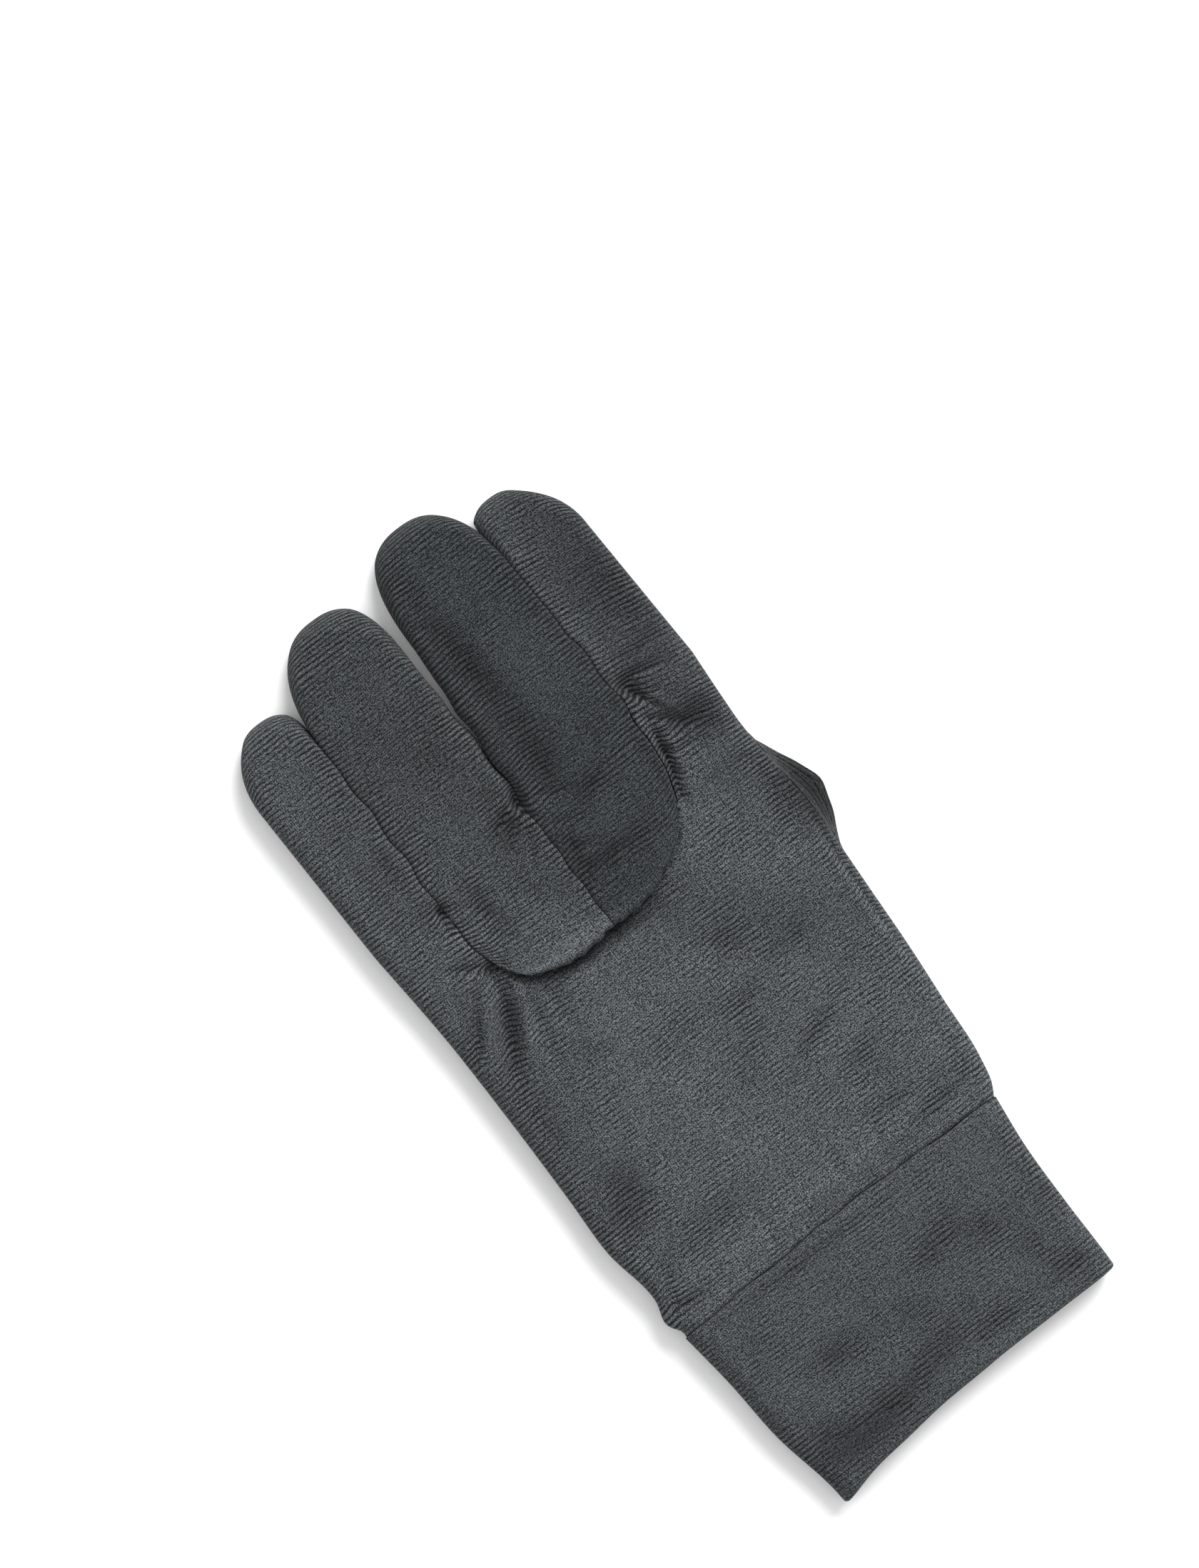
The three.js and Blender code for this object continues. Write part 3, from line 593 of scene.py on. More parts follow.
def jersey(name, colour, contrast=1.0):
    """Fine charcoal jersey: dark and light fibres spun together, knitted in courses across the hand."""
    material = bpy.data.materials.new(name)
    material.use_nodes = True
    nodes = material.node_tree.nodes
    links = material.node_tree.links
    cloth = nodes["Principled BSDF"]

    def math_node(operation, first, second=None, third=None):
        """One sum on numbers or on other nodes' results."""
        made = nodes.new("ShaderNodeMath")
        made.operation = operation
        for i, value in enumerate((first, second, third)):
            if isinstance(value, (int, float)):
                made.inputs[i].default_value = value
            elif value is not None:
                links.new(value, made.inputs[i])
        return made.outputs[0]

    def noise(scale, detail, stretch):
        """Random unevenness, stretched along the courses, or along the hand where stretch is below 1."""
        spread = nodes.new("ShaderNodeMapping")
        spread.inputs["Scale"].default_value = (1 / stretch, 1, 1)
        links.new(knit.outputs["Vector"], spread.inputs["Vector"])
        made = nodes.new("ShaderNodeTexNoise")
        made.inputs["Scale"].default_value = scale
        made.inputs["Detail"].default_value = detail
        made.inputs["Roughness"].default_value = 0.6
        links.new(spread.outputs["Vector"], made.inputs["Vector"])
        return made.outputs["Fac"]

    def between(value, low, high, first, last):
        """Stretches a result's range from low and high to first and last."""
        made = nodes.new("ShaderNodeMapRange")
        ends = (("From Min", low), ("From Max", high), ("To Min", first), ("To Max", last))
        for end, number in ends:
            made.inputs[end].default_value = number
        links.new(value, made.inputs["Value"])
        return made.outputs[0]

    def rows(at, pitch):
        """Rows that rise from 0 to 1 and fall again at each pitch."""
        return math_node("ABSOLUTE", math_node("SINE", math_node("MULTIPLY", at, math.pi / pitch)))

    knit, ladder_and_shade, tone_and_shade = (nodes.new("ShaderNodeAttribute") for _ in range(3))
    knit.attribute_name = "knit"
    ladder_and_shade.attribute_name = "ladder_and_shade"
    tone_and_shade.attribute_name = "tone_and_shade"
    place = nodes.new("ShaderNodeSeparateXYZ")
    links.new(knit.outputs["Vector"], place.inputs[0])
    u, v = place.outputs["X"], place.outputs["Y"]

    # The courses and wales, which drift a little, and the holes between them
    drift = math_node("MULTIPLY_ADD", noise(0.11, 2, 2.5), 2.4, v)
    wander = math_node("MULTIPLY_ADD", noise(0.5, 1, 3), 0.45, drift)
    groove = math_node("POWER", math_node("SUBTRACT", 1, rows(wander, COURSE_PITCH)), 0.9)
    u_drift = math_node("MULTIPLY_ADD", noise(0.3, 1, 1), 0.6, u)
    wale = rows(u_drift, WALE_PITCH)
    fine = rows(wander, COURSE_PITCH / 2)
    holes = math_node("MULTIPLY", math_node("SUBTRACT", 1.1, wale), math_node("SUBTRACT", 1.1, fine))

    # Where the courses stand out: in patches, and where the mesh says that the fabric bunches up
    patch = between(noise(0.06, 3, 0.42), 0.45, 0.6, 0, 1.15)
    breaks = between(noise(0.4, 2, 1.6), 0.32, 0.55, 0.45, 1.15)
    strength = math_node("MULTIPLY", math_node("MULTIPLY_ADD", ladder_and_shade.outputs["Fac"], 1.5, patch), breaks)
    strength = math_node("MAXIMUM", strength, 0)
    deep = math_node("MULTIPLY", groove, strength)
    stripes = math_node("MULTIPLY", math_node("SUBTRACT", 0.38, groove), strength)
    flat = math_node("MAXIMUM", math_node("MULTIPLY", ladder_and_shade.outputs["Fac"], -1), 0)
    ribs = math_node("MULTIPLY", math_node("SUBTRACT", rows(u_drift, RIB_PITCH), 0.64), flat)

    # The mixed fibres: fine grain, lumps and streaks of yarn, pale flecks and soft clouds
    grain = between(noise(3.0, 2, 1.3), 0.32, 0.68, -0.5, 0.5)
    lumps = between(noise(1.7, 1, 1.8), 0.3, 0.7, -0.5, 0.5)
    streak = between(noise(0.75, 2, 3.5), 0.32, 0.68, -0.5, 0.5)
    flecks = between(noise(1.4, 1, 3), 0.6, 0.72, 0, 1)
    cloudy = between(noise(0.07, 3, 1.8), 0.3, 0.7, -0.5, 0.5)

    # The ladder value also paints the yarn darker where it is high, along seams, edges, fold valleys and
    # sunk places, as painted shade in creases, and lighter where it is below 0, as a painted highlight
    # along the U's proud rim and on fold ridges.
    light = YARN_LIGHT
    for part, strength in (
        (stripes, 1.15 * contrast),
        (ribs, 0.7 * contrast),
        (holes, -0.75 * contrast),
        (grain, 3.3 * contrast),
        (lumps, 1.2 * contrast),
        (streak, 0.35 * contrast),
        (flecks, 0.5 * contrast),
        (cloudy, 0.2),
        (ladder_and_shade.outputs["Fac"], -0.17),
    ):
        light = math_node("MULTIPLY_ADD", part, strength, light)
    # The tone multiplies in the painted shade and highlights that each point carries.
    light = math_node("MULTIPLY", math_node("MAXIMUM", light, YARN_DARKEST), tone_and_shade.outputs["Fac"])
    tint = nodes.new("ShaderNodeVectorMath")
    tint.operation = "SCALE"
    tint.inputs[0].default_value = colour
    links.new(light, tint.inputs["Scale"])
    links.new(tint.outputs[0], cloth.inputs["Base Color"])

    height = 1
    for relief, depth in ((deep, -0.8), (holes, -0.5), (grain, 0.2)):
        height = math_node("MULTIPLY_ADD", relief, depth, height)
    bump = nodes.new("ShaderNodeBump")
    bump.inputs["Strength"].default_value = BUMP_STRENGTH
    bump.inputs["Distance"].default_value = BUMP_HEIGHT
    links.new(height, bump.inputs["Height"])
    links.new(bump.outputs[0], cloth.inputs["Normal"])
    cloth.inputs["Roughness"].default_value = JERSEY_ROUGHNESS
    cloth.inputs["Specular IOR Level"].default_value = JERSEY_SPECULAR
    cloth.inputs["Sheen Weight"].default_value = JERSEY_SHEEN
    cloth.inputs["Sheen Roughness"].default_value = SHEEN_ROUGHNESS
    return material


SEWING_REACH = 2e-6


def make_piece(name, bm, material, node):
    """Sews a panel's stretches together, gives the jersey its thickness and puts it in the glove."""
    bmesh.ops.remove_doubles(bm, verts=bm.verts, dist=SEWING_REACH)
    mesh = bpy.data.meshes.new(name)
    bm.to_mesh(mesh)
    bm.free()
    mesh.materials.append(material)
    mesh.shade_smooth()
    piece = bpy.data.objects.new(name, mesh)
    bpy.context.scene.collection.objects.link(piece)
    thick = piece.modifiers.new("jersey", "SOLIDIFY")
    thick.thickness = JERSEY_THICK / 1000
    thick.offset = -1
    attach(piece, "root")
    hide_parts(node)
    return piece


BACK_FINGER_COLUMNS = (22, 30, 32, 22)
BACK_ROWS = {"palm": 92, "fork": 28, "finger": 44, "tip": 24}
back_mesh = bmesh.new()
for finger, columns in enumerate(BACK_FINGER_COLUMNS):
    for zone, rows in BACK_ROWS.items():
        lay_out(back_mesh, columns, rows, back_place(finger, zone), side=-1)
CHARCOAL = (0.0485, 0.0537, 0.0568)
charcoal = jersey("charcoal_jersey", CHARCOAL)
back_panel = make_piece("back_panel", back_mesh, charcoal, "hand_back")

# The palm
# One panel for the palm and the fronts of the little and index fingers, cut out in a U below the two
# middle fingers. It lies on top, with soft folds that run from the ends of the U.
PALM_COLUMNS = (38, 50, 54, 38)
PALM_ROWS = {"palm": 150, "fork": 48, "finger": 80, "tip": 40}
U_TUCK = 0.9
SUNK_DEPTH = 1.0
# How far a fold draws the courses along with it, as a share of its height
FOLD_DRAW = 0.6
# Folds as points from the middle of the cuff's mouth, half width and height: a valley is below 0
PALM_FOLDS = (
    (((-34, 157), (-37, 150), (-42.5, 140), (-47, 131)), 2.0, -2.0),
    (((-38, 157), (-44, 147), (-50, 137)), 1.9, 1.2),
    (((-32, 150), (-35.5, 142), (-40, 133)), 1.9, 1.0),
    (((-36, 156), (-43, 151), (-51, 141)), 1.6, -1.0),
    (((-30, 150), (-32.5, 143), (-35, 134), (-37, 120)), 2.2, -0.9),
    (((-27, 148), (-27.5, 140), (-27, 132)), 1.8, -0.6),
    (((-35, 157.5), (-40, 159.5), (-45, 162)), 1.3, -1.0),
    (((-35.5, 156), (-41, 156), (-46, 155)), 1.2, 0.7),
    (((-36, 177), (-37.5, 174), (-38.5, 170)), 1.6, -1.4),
    (((-20, 136), (-17, 115), (-18, 90), (-14, 68)), 8.0, 0.7),
    (((24, 160), (34, 163), (44, 165), (50, 166)), 3.6, 1.2),
    (((32.5, 193), (35, 189), (38, 184)), 1.2, -1.8),
    (((32.5, 194), (38, 194), (45, 192)), 1.5, -1.4),
    (((34.5, 188), (38.5, 185.5), (41, 181)), 1.1, 0.9),
    (((33, 184), (37, 180.5), (40, 178)), 1.1, -1.3),
    (((36, 177), (42, 176.5), (49, 178)), 2.6, -1.6),
    (((40, 184), (45, 185), (50, 187)), 2.2, 0.6),
    (((31, 175), (35, 172), (42, 171)), 1.3, -1.0),
    (((28.2, 161), (31, 169), (33, 181)), 1.5, -2.0),
    (((44, 138), (47, 147), (48, 158)), 3.2, -0.9),
    (((8, 131), (18, 127), (24, 124)), 3.5, -0.6),
    (((-2, 113), (5, 112), (12, 109)), 3.5, -0.5),
    (((-47, 94), (-42, 92), (-38, 88)), 3.0, -0.5),
    (((14, 79), (22, 78), (31, 75)), 3.0, -0.5),
    (((-30, 100), (-26, 112), (-23, 126)), 5.0, 0.5),
    (((20, 96), (30, 99), (41, 98)), 4.0, -0.4),
    (((-50, 60), (0, 62.3), (46, 61)), 2.6, 0.8),
    (((27, 61.5), (33, 66), (40, 69)), 1.7, -0.9),
    (((-50.5, 59), (-49, 64), (-46, 70)), 1.8, -1.2),
    (((-20, 59), (-18, 64), (-19, 70)), 1.6, -0.5),
    (((5, 59.5), (4, 64), (6, 70)), 1.4, -0.4),
    (((-36, 58.5), (-35, 63), (-36, 68)), 1.3, -0.4),
    (((15, 60), (17, 65), (18, 70)), 1.3, -0.4),
)
# The crease that runs up beside the thumb, in the same terms
SIDE_CREASE = ((((50.2, 96), (50.6, 112), (51.4, 132), (52.2, 141)), 0.9, -1.3),)
PALM_UNEVEN = ((0.3, 15, 1.7, 1), (0.12, 5, 2.2, 2))
FOLD_ENDS = (0.14, 0.86)


def strokes(x, y, table):
    """The height that a table of folds adds at a place. Each fold fades at its ends."""
    x, y = from_mouth(x, y)
    total = np.zeros_like(x)
    for line, width, rise in table:
        points = np.array(line, float)
        lengths = np.hypot(*np.diff(points, axis=0).T)
        reach = np.concatenate([[0], np.cumsum(lengths)])
        nearest = np.full(x.shape, np.inf)
        share = np.zeros_like(x)
        for i, length in enumerate(lengths):
            step = (points[i + 1] - points[i]) / length
            run = np.clip((x - points[i][0]) * step[0] + (y - points[i][1]) * step[1], 0, length)
            away = np.hypot(x - points[i][0] - run * step[0], y - points[i][1] - run * step[1])
            share = np.where(away < nearest, (reach[i] + run) / reach[-1], share)
            nearest = np.minimum(away, nearest)
        total += rise * np.sin(math.pi * mix(*FOLD_ENDS, share)) * np.exp(-((nearest / width) ** 2))
    return total


def sewn(distance, width, depth):
    """How far a fabric rolls down into the seam at its edge."""
    return depth * (1 - arc(distance / width))


def stitched(y):
    """How unevenly the stitches pull a seam along the hand down, about 1."""
    return 1 + 0.7 * ripple(y, 0 * y, 7, 1, 33)


def under_u(x, below):
    """How deep the palm lies below the proud lower edge of the U, and right beside its seam."""
    shaded = smooth((u_right - 14 - x) / 14) * smooth((x - u_left + 2) / 7)
    trough = (3.0 + 0.8 * ripple(x, 0 * x, 6, 1, 53)) * shaded * np.exp(-np.maximum(below, 0) / 2.6)
    notch = 1.3 * np.exp(-((below / 1.1) ** 2)) * smooth((x - u_left + 2) / 4)
    return trough + notch


def palm_place(finger, zone):
    """The palm's shape in one stretch of one finger: its folds, its sunken rows and its seams."""

    def place(u, along):
        u = towards_edges(u)
        x, y, edge, from_left, from_right, from_u = stretch_rows(finger, u, along, zone, SEWN_GAP / 2)
        tip = along * (zone == "tip")
        round_off = rounding(edge, finger, u, tip)
        rise = seam_rise(finger, u, tip)
        z = LOFT / 2 * mix(1 + rise, 2, round_off) + lift(x, y) + SEAM_GAP / 3
        sunk = gathered(x, y)
        shape = strokes(x, y, PALM_FOLDS) + unevenness(x, y, PALM_UNEVEN) - SUNK_DEPTH * sunk
        shape += strokes(x, y, SIDE_CREASE)
        z += round_off**2 * shape
        z -= (sewn(from_left, 1.5, 1.6) + sewn(from_right, 1.2, 0.6)) * stitched(y)
        if zone == "palm":
            z -= sewn(y - seam_line(x), 2.2, 0.9 + 0.7 * ripple(x, 0 * x, 9, 1, 31))
            below = np.where((x > u_left - 1) & (x < u_right + 1), -from_u, FAR)
            z -= under_u(x, below)
            y = y + U_TUCK * np.exp(-((below / 0.9) ** 2)) * (finger in (1, 2))
        bend = 0.12 * np.maximum(0, x - 25) * smooth((y - 100) / 25) * (finger == 3)
        courses = knit_place(u, x, y + bend + FOLD_DRAW * shape + over_tip(LOFT - z, tip), edge)
        from_seam = np.minimum(from_left, from_right)
        strength = 0.9 * np.exp(-((edge / 5) ** 2)) + 0.8 * np.exp(-((from_seam / 5) ** 2))
        # Fold valleys and sunk places raise the value and fold ridges lower it, which paints shade into the
        # creases and highlights onto the ridges.
        strength += np.clip(0.35 * -strokes(x, y, PALM_FOLDS), -0.3, 0.6) + sunk
        wave = seam_wave(x, y)
        return np.stack([pinched(x, edge, u, finger) + wave, y, z], 1), courses, strength

    return place


palm_mesh = bmesh.new()
for finger, columns in enumerate(PALM_COLUMNS):
    for zone, rows in PALM_ROWS.items():
        if zone == "palm" or finger in (0, 3):
            lay_out(palm_mesh, columns, rows, palm_place(finger, zone))
palm_panel = make_piece("palm_panel", palm_mesh, charcoal, "palm")

# The fronts of the ring and middle fingers
# Two panels that run down from the fingertips to the U seam in the palm. Their lower edges stand a
# little proud of the palm, and they are sewn to each other from the U up to where the fingers part.
FRONT_COLUMNS = {1: 60, 2: 66}
FRONT_ROWS = {"fork": 66, "finger": 92, "tip": 52}
LIP_RISE = 1.9
WELT_RISE = 0.35
# The pit where the ring and middle fingers part
CROTCH_PIT = (((-4.4, 182), (-5, 186), (-4.4, 190)), 1.5, -2.2)
# Folds as points from the middle of the cuff's mouth, half width and height
RING_FOLDS = (
    CROTCH_PIT,
    (((-5, 187), (-10, 185), (-17, 181)), 1.0, -0.9),
    (((-5.5, 184), (-11, 180), (-17, 174)), 1.0, -0.7),
    (((-5.5, 189), (-11, 190), (-17, 189)), 1.1, -0.5),
    (((-6, 186), (-12, 183), (-18, 178)), 0.9, 0.4),
    (((-6, 181), (-9, 175), (-12, 168)), 1.1, -0.5),
    (((-32, 158), (-28, 160), (-23, 161)), 1.3, -0.5),
    (((-31, 154), (-26, 155), (-20, 155)), 1.2, -0.4),
    (((-34, 168), (-30, 169), (-26, 168)), 1.2, -0.4),
    (((-27, 214), (-20, 212), (-12, 213)), 3.0, -0.4),
    (((-24, 196), (-18, 195), (-12, 197)), 3.0, 0.3),
)
MIDDLE_FOLDS = (
    CROTCH_PIT,
    (((4, 246), (4, 225), (3.5, 200), (3, 170)), 3.6, -0.9),
    (((-1, 184), (4, 182), (9, 180)), 1.3, -0.6),
    (((-2, 176), (3, 174), (8, 173)), 1.2, -0.5),
    (((-2, 168), (4, 166), (9, 166)), 1.3, -0.5),
    (((2, 158), (8, 160), (14, 160)), 2.4, -0.5),
    (((25, 163), (27, 170), (28, 180)), 1.6, -0.5),
    (((14, 220), (15, 204), (16, 188)), 5.0, 0.5),
)


def front_place(finger, zone, folds):
    """A front's shape in its fork above the U, its finger or its tip."""
    uneven = ((0.22, 13, 1.4, 7 + finger), (0.1, 4, 2, 3))

    def place(u, along):
        u = towards_edges(u)
        x, y, edge, from_left, from_right, from_u = stretch_rows(finger, u, along, zone, SEWN_GAP / 2)
        tip = along * (zone == "tip")
        round_off = rounding(edge, finger, u, tip)
        rise = seam_rise(finger, u, tip)
        z = LOFT / 2 * mix(1 + rise, 2, round_off) + lift(x, y) + SEAM_GAP / 3
        sunk = gathered(x, y)
        shape = strokes(x, y, folds) + unevenness(x, y, uneven) - SUNK_DEPTH * sunk
        if zone == "fork":
            from_sides = np.minimum(x - u_left, u_right - x)
            shape += LIP_RISE * smooth(1 - from_u / 15) * smooth(from_sides / 8 + 0.4)
        z += round_off**2 * shape
        middle_seam = from_right if finger == 1 else from_left
        outer_seam = from_left if finger == 1 else from_right
        z -= (sewn(middle_seam, 1.0, 0.5) + sewn(outer_seam, 1.2, 0.6)) * stitched(y)
        z -= sewn(from_u, 0.9, 1.8)
        z += (WELT_RISE + 0.3 * ripple(x, 0 * x, 2.4, 1, 52)) * np.exp(-(((from_u - 1.1) / 0.6) ** 2))
        bend = 0.005 * np.exp(-np.maximum(from_u, 0) / 7) * (x - (u_left + u_right) / 2) ** 2
        courses = knit_place(u, x, y - bend + FOLD_DRAW * shape + over_tip(LOFT - z, tip), edge)
        seams = np.minimum(outer_seam, edge)
        strength = 1.1 * np.exp(-((seams / 5) ** 2)) + 0.6 * np.exp(-((middle_seam / 2.2) ** 2))
        strength += np.clip(0.5 * -strokes(x, y, folds), -0.2, 0.6)
        # Below 0 near the U seam, so that the yarn is painted lighter there: a painted highlight along the
        # U's proud rim.
        strength += sunk - np.exp(-((from_u / 3.5) ** 2))
        wave = seam_wave(x, y)
        return np.stack([pinched(x, edge, u, finger) + wave, y, z], 1), courses, strength

    return place


# The middle front is coloured darker than the ring front, partly painted shade for its side that turns from
# the lamp.
front_colours_and_shade = {1: (0.0405, 0.0450, 0.0471), 2: (0.0236, 0.0270, 0.0286)}
fronts = {1: ("ring_panel", "ring_front", RING_FOLDS), 2: ("middle_panel", "middle_front", MIDDLE_FOLDS)}
for finger, (name, node, folds) in fronts.items():
    front_mesh = bmesh.new()
    for zone, rows in FRONT_ROWS.items():
        lay_out(front_mesh, FRONT_COLUMNS[finger], rows, front_place(finger, zone, folds))
    front_jersey = jersey(f"{name}_jersey", front_colours_and_shade[finger])
    front = make_piece(name, front_mesh, front_jersey, node)

# The thumb
# A tube of jersey, set into a slot in the hand's thumb side. Here it is folded back and lies flat under
# the hand, so only its base shows, rolled out over the edge.
THUMB_AROUND = 96
THUMB_ALONG = 110
# The base in section, as on the cut glove: out and up of the outer layer, under and drop of the inner
# one, the share of the mouth's length, and how closely it keeps to the hand's side
THUMB_BASE = (
    (0, 1, 0, 0, 1, 1),
    (0.18, 0.8, -0.1, 0.4, 1, 1),
    (0.55, 0.62, -0.04, 0.85, 1.03, 0.9),
    (0.97, 0.42, 0.2, 1, 1.07, 0.85),
    (1, 0.2, 0.4, 1, 1.07, 0.8),
    (0.6, 0.02, 0.6, 1, 1.03, 0.5),
    (-0.4, 0, 0.8, 1, 1, 0),
)
THUMB_TIP = 18
THUMB_BULGE = 5.8
THUMB_PEAK = 3.6
THUMB_DROP = 2.8
THUMB_BLUNT = 0.16
THUMB_INSET = 1.6
THUMB_ROWS = (0.12, 0.25, 0.4, 0.55)
THUMB_TIP_ROWS = (0, 0.4, 0.7, 0.9, 1)


def side_line(y):
    """x of the slot's middle line in the hand's side."""
    return right_side(y) - slot_depth(y)


def thumb_sections():
    """The tube's sections, as rows of: lower x and z, upper x and z, y of the middle, half the width in
    x and in y, and how closely the row keeps to the hand's side."""
    seam_z = LOFT / 2 + THUMB_LOFT + SEAM_GAP
    run = 1 - slot_depth(THUMB_PLACE) / SIDE_ROUND
    slope = LOFT / 2 / SIDE_ROUND * run / math.sqrt(1 - run * run)
    down = np.array((1, -slope)) / math.hypot(1, slope) * SEAM_GAP
    seam_x = side_line(THUMB_PLACE)
    outer = (seam_x + down[0], seam_z + SLOT_HEIGHT / 2 + down[1])
    inner = (seam_x + down[0], seam_z - SLOT_HEIGHT / 2 - down[1])
    rows = []
    for out, up, under, drop, length, follow in THUMB_BASE:
        lower = (outer[0] + out * THUMB_BULGE, up * outer[1])
        upper = (inner[0] - under * THUMB_LOFT, mix(inner[1], THUMB_LOFT, drop))
        rows.append((*lower, *upper, THUMB_PLACE, 0, THUMB_MOUTH / 2 * length, follow))
    root = (rows[-1][0] + rows[-1][2]) / 2
    flat = [(share * THUMB_LENGTH, THUMB_WIDTH, 1) for share in THUMB_ROWS]
    for share in THUMB_TIP_ROWS:
        width = THUMB_WIDTH * (1 - share**TIP_POWER) ** (1 / TIP_POWER)
        flat.append((THUMB_LENGTH - THUMB_TIP * (1 - share), width, 1 - 0.99 * share**4))
    for run, width, height in flat:
        turn = smooth(run / (THUMB_LENGTH * 0.4))
        half_x = mix(0, math.cos(THUMB_TURN) * width / 2, turn)
        half_y = mix(THUMB_MOUTH / 2, math.sin(THUMB_TURN) * width / 2, turn)
        x = root - math.sin(THUMB_TURN) * run
        y = THUMB_PLACE + math.cos(THUMB_TURN) * run
        half_loft = THUMB_LOFT / 2 * height
        rows.append((x, THUMB_LOFT / 2 - half_loft, x, THUMB_LOFT / 2 + half_loft, y, half_x, half_y, 0))
    return np.array(rows)


def thumb_place(u, along):
    """The thumb's shape, from u round the tube (-1 to 1) and along it (0 to 1)."""
    table = thumb_sections()
    steps = np.hypot(np.diff(table[:, 0] + table[:, 2]) / 2, np.diff(table[:, 4])) + 1.5
    reach = np.concatenate([[0], np.cumsum(steps)])
    lower_x, lower_z, upper_x, upper_z, middle, half_x, half_y, follow = (
        flowing(reach / reach[-1], column, along) for column in table.T
    )
    angle = math.pi * (u + 1)
    swing = np.sin(angle)
    share = mix(arc(np.abs(swing) / 0.8), swing**2, np.clip(follow, 0, 1))
    target_x = np.where(swing > 0, lower_x, upper_x)
    target_z = np.where(swing > 0, lower_z, upper_z)
    base = smooth(follow * 3)
    blunt_span = math.hypot(1, THUMB_BLUNT) - THUMB_BLUNT
    pointed = 1 - (np.hypot(np.cos(angle), THUMB_BLUNT) - THUMB_BLUNT) / blunt_span
    share = mix(share, pointed, base * (swing > 0) * smooth(along * 12))
    y = middle + half_y * np.cos(angle) - (THUMB_DROP + (THUMB_PEAK - THUMB_DROP) * swing**2) * base
    sideways = follow * (side_line(y) - side_line(THUMB_PLACE))
    middle_x = (lower_x + upper_x) / 2
    middle_x = mix(middle_x, np.minimum(middle_x, side_line(THUMB_PLACE) - THUMB_INSET), base)
    x = mix(middle_x, target_x, share) + half_x * np.cos(angle) + sideways
    z = mix((lower_z + upper_z) / 2, target_z, share)
    wrinkle = 0.35 * ripple(y, reach[-1] * along, 6, 1.5, 11) * (swing > 0) * smooth(along / 0.06)
    x = x + wrinkle * smooth(follow) * np.abs(swing)
    courses = np.stack([angle * THUMB_WIDTH / math.pi, along * reach[-1], 0 * u], 1)
    return np.stack([x, y, np.maximum(z, 0)], 1), courses, 0.6 + 0 * u


thumb_mesh = bmesh.new()
lay_out(thumb_mesh, THUMB_AROUND, THUMB_ALONG, thumb_place)
bmesh.ops.remove_doubles(thumb_mesh, verts=thumb_mesh.verts, dist=SEWING_REACH)
bmesh.ops.recalc_face_normals(thumb_mesh, faces=thumb_mesh.faces)
thumb_tube = make_piece("thumb_tube", thumb_mesh, charcoal, "thumb")

# The cuff
# A band of the same jersey round the wrist, folded double at the mouth. Both its raw edges are sewn on
# to the hand in one seam, so it has an outer layer and an inner one.
CUFF_THICK = 2.0
CUFF_LOFT = 8.4
CUFF_ROUND = 5
CUFF_MOUTH_WIDTH = 89.7
CUFF_AROUND = 320
CUFF_ROWS = 150
CUFF_SIDES = {
    "down": (0, 0.28, 0.6, 0.96, 1.02),
    "narrow": (0, 0.39, 0.59, 1, 1.03),
    "shift": (-0.001, 0.002, 0.008, 0.028, 0.029),
}
MOUTH_LINE = {
    "across": (-1, -0.8, -0.55, -0.2, 0.15, 0.6, 1),
    "down": (-58.6, -56.6, -55, -53.3, -52.5, -52, -51.8),
}
CUFF_FOLDS = (
    (((-48, 20), (-44, 10), (-36, 6), (-20, 7)), 4.5, -0.7),
    (((-30, 30), (-5, 33), (20, 31)), 6.0, 0.4),
    (((0, 14), (18, 15), (34, 20)), 5.0, -0.4),
    (((-47, 3), (-20, 4.2), (20, 5), (45, 6)), 1.6, 0.35),
    (((-46, 6.5), (-20, 7.5), (20, 8.5), (44, 9)), 1.8, -0.3),
)


CUFF_UNEVEN = ((0.25, 14, 2, 22),)
CUFF_CHARCOAL = (0.0405, 0.045, 0.0475)
# Half the share of the band's height that turns round the mouth, and how much further on in the knit
# the inner layer lies
CUFF_FOLD = 0.03
INNER_KNIT = 200


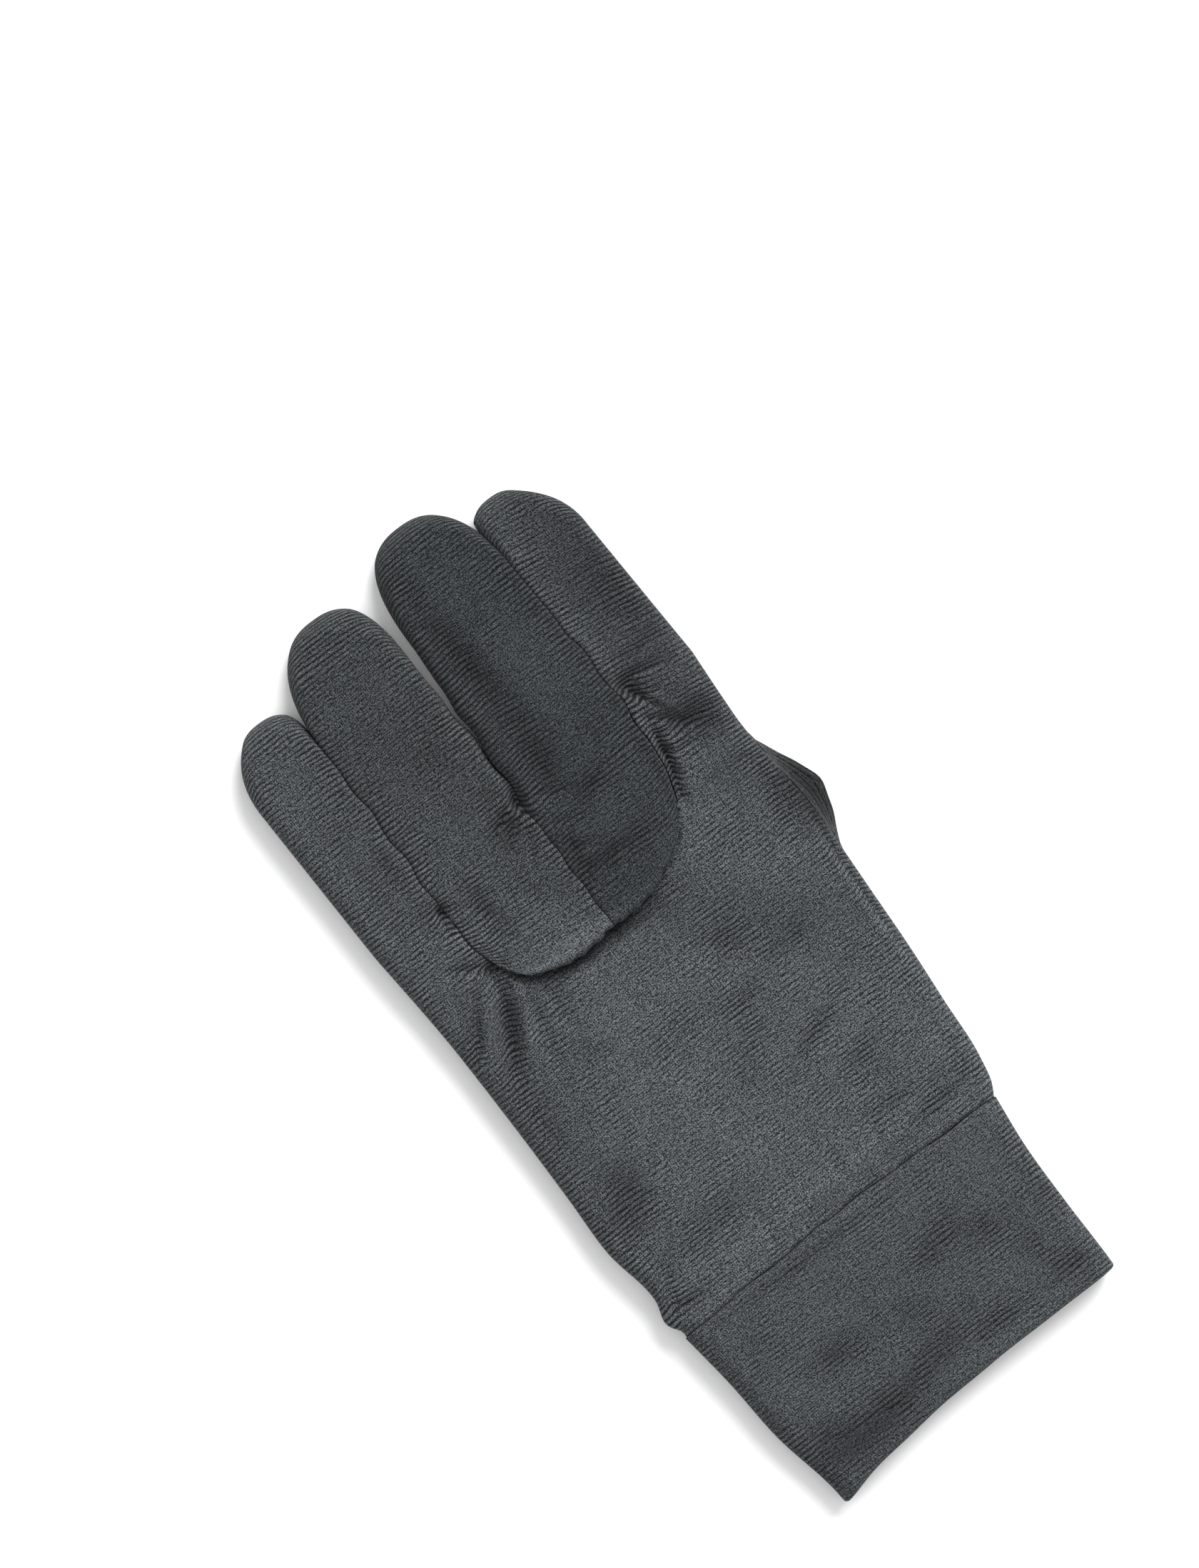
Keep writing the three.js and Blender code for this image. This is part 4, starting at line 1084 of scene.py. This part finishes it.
def cuff_place(u, along):
    """The cuff's shape, from u round the wrist (-1 to 1) and along, down outside and up again inside."""
    top = u <= 0
    across = towards_edges(np.where(top, 2 * u + 1, 1 - 2 * u))
    side = np.where(top, 1, -1)
    down = np.clip(np.where(along < 0.5, along, 1 - along) / (0.5 - CUFF_FOLD), 0, 1)
    turn = np.clip((along - 0.5 + CUFF_FOLD) / (2 * CUFF_FOLD), 0, 1) * math.pi
    inset = CUFF_THICK / 2 * (1 - np.cos(turn))
    narrow = flowing(CUFF_SIDES["down"], CUFF_SIDES["narrow"], down)
    half = mix(CUFF_TOP_WIDTH, CUFF_MOUTH_WIDTH, narrow) / 2
    x = CUFF_TOP_WIDTH * flowing(CUFF_SIDES["down"], CUFF_SIDES["shift"], down) + (half - inset) * across
    mouth = flowing(MOUTH_LINE["across"], MOUTH_LINE["down"], across) + CUFF_THICK / 2
    y = mix(seam_line(x), mouth, down) - CUFF_THICK / 2 * np.sin(turn)
    y += 0.25 * ripple(x, 0 * x, 22, 1, 21) * down
    edge = (half - inset) * (1 - np.abs(across))
    round_off = arc(edge / (CUFF_ROUND - inset))
    z = (CUFF_LOFT / 2 - inset) * round_off
    outside = (along < 0.5) * (side > 0)
    sunk = gathered(x, y) * outside
    z += outside * round_off**2 * (strokes(x, y, CUFF_FOLDS) + unevenness(x, y, CUFF_UNEVEN))
    z -= round_off**2 * SUNK_DEPTH * sunk
    z -= sewn(seam_line(x) - y, 1.5, 0.8) * (inset == 0)
    z = np.maximum(CUFF_LOFT / 2 + side * z, 0)
    around = np.where(top, across, 2 - across) * half
    courses = np.stack([around, y - 0.8 * inset + INNER_KNIT * (along > 0.5), 0 * x], 1)
    strength = 0.7 * np.exp(-((edge / 4) ** 2)) - 0.15 + 1.1 * sunk
    return np.stack([x, y, z], 1), courses, strength


cuff_mesh = bmesh.new()
lay_out(cuff_mesh, CUFF_AROUND, CUFF_ROWS, cuff_place)
bmesh.ops.remove_doubles(cuff_mesh, verts=cuff_mesh.verts, dist=SEWING_REACH)
bmesh.ops.reverse_faces(cuff_mesh, faces=cuff_mesh.faces)
cuff_jersey = jersey("cuff_jersey", CUFF_CHARCOAL, contrast=0.9)
cuff_band = make_piece("cuff_band", cuff_mesh, cuff_jersey, "cuff")
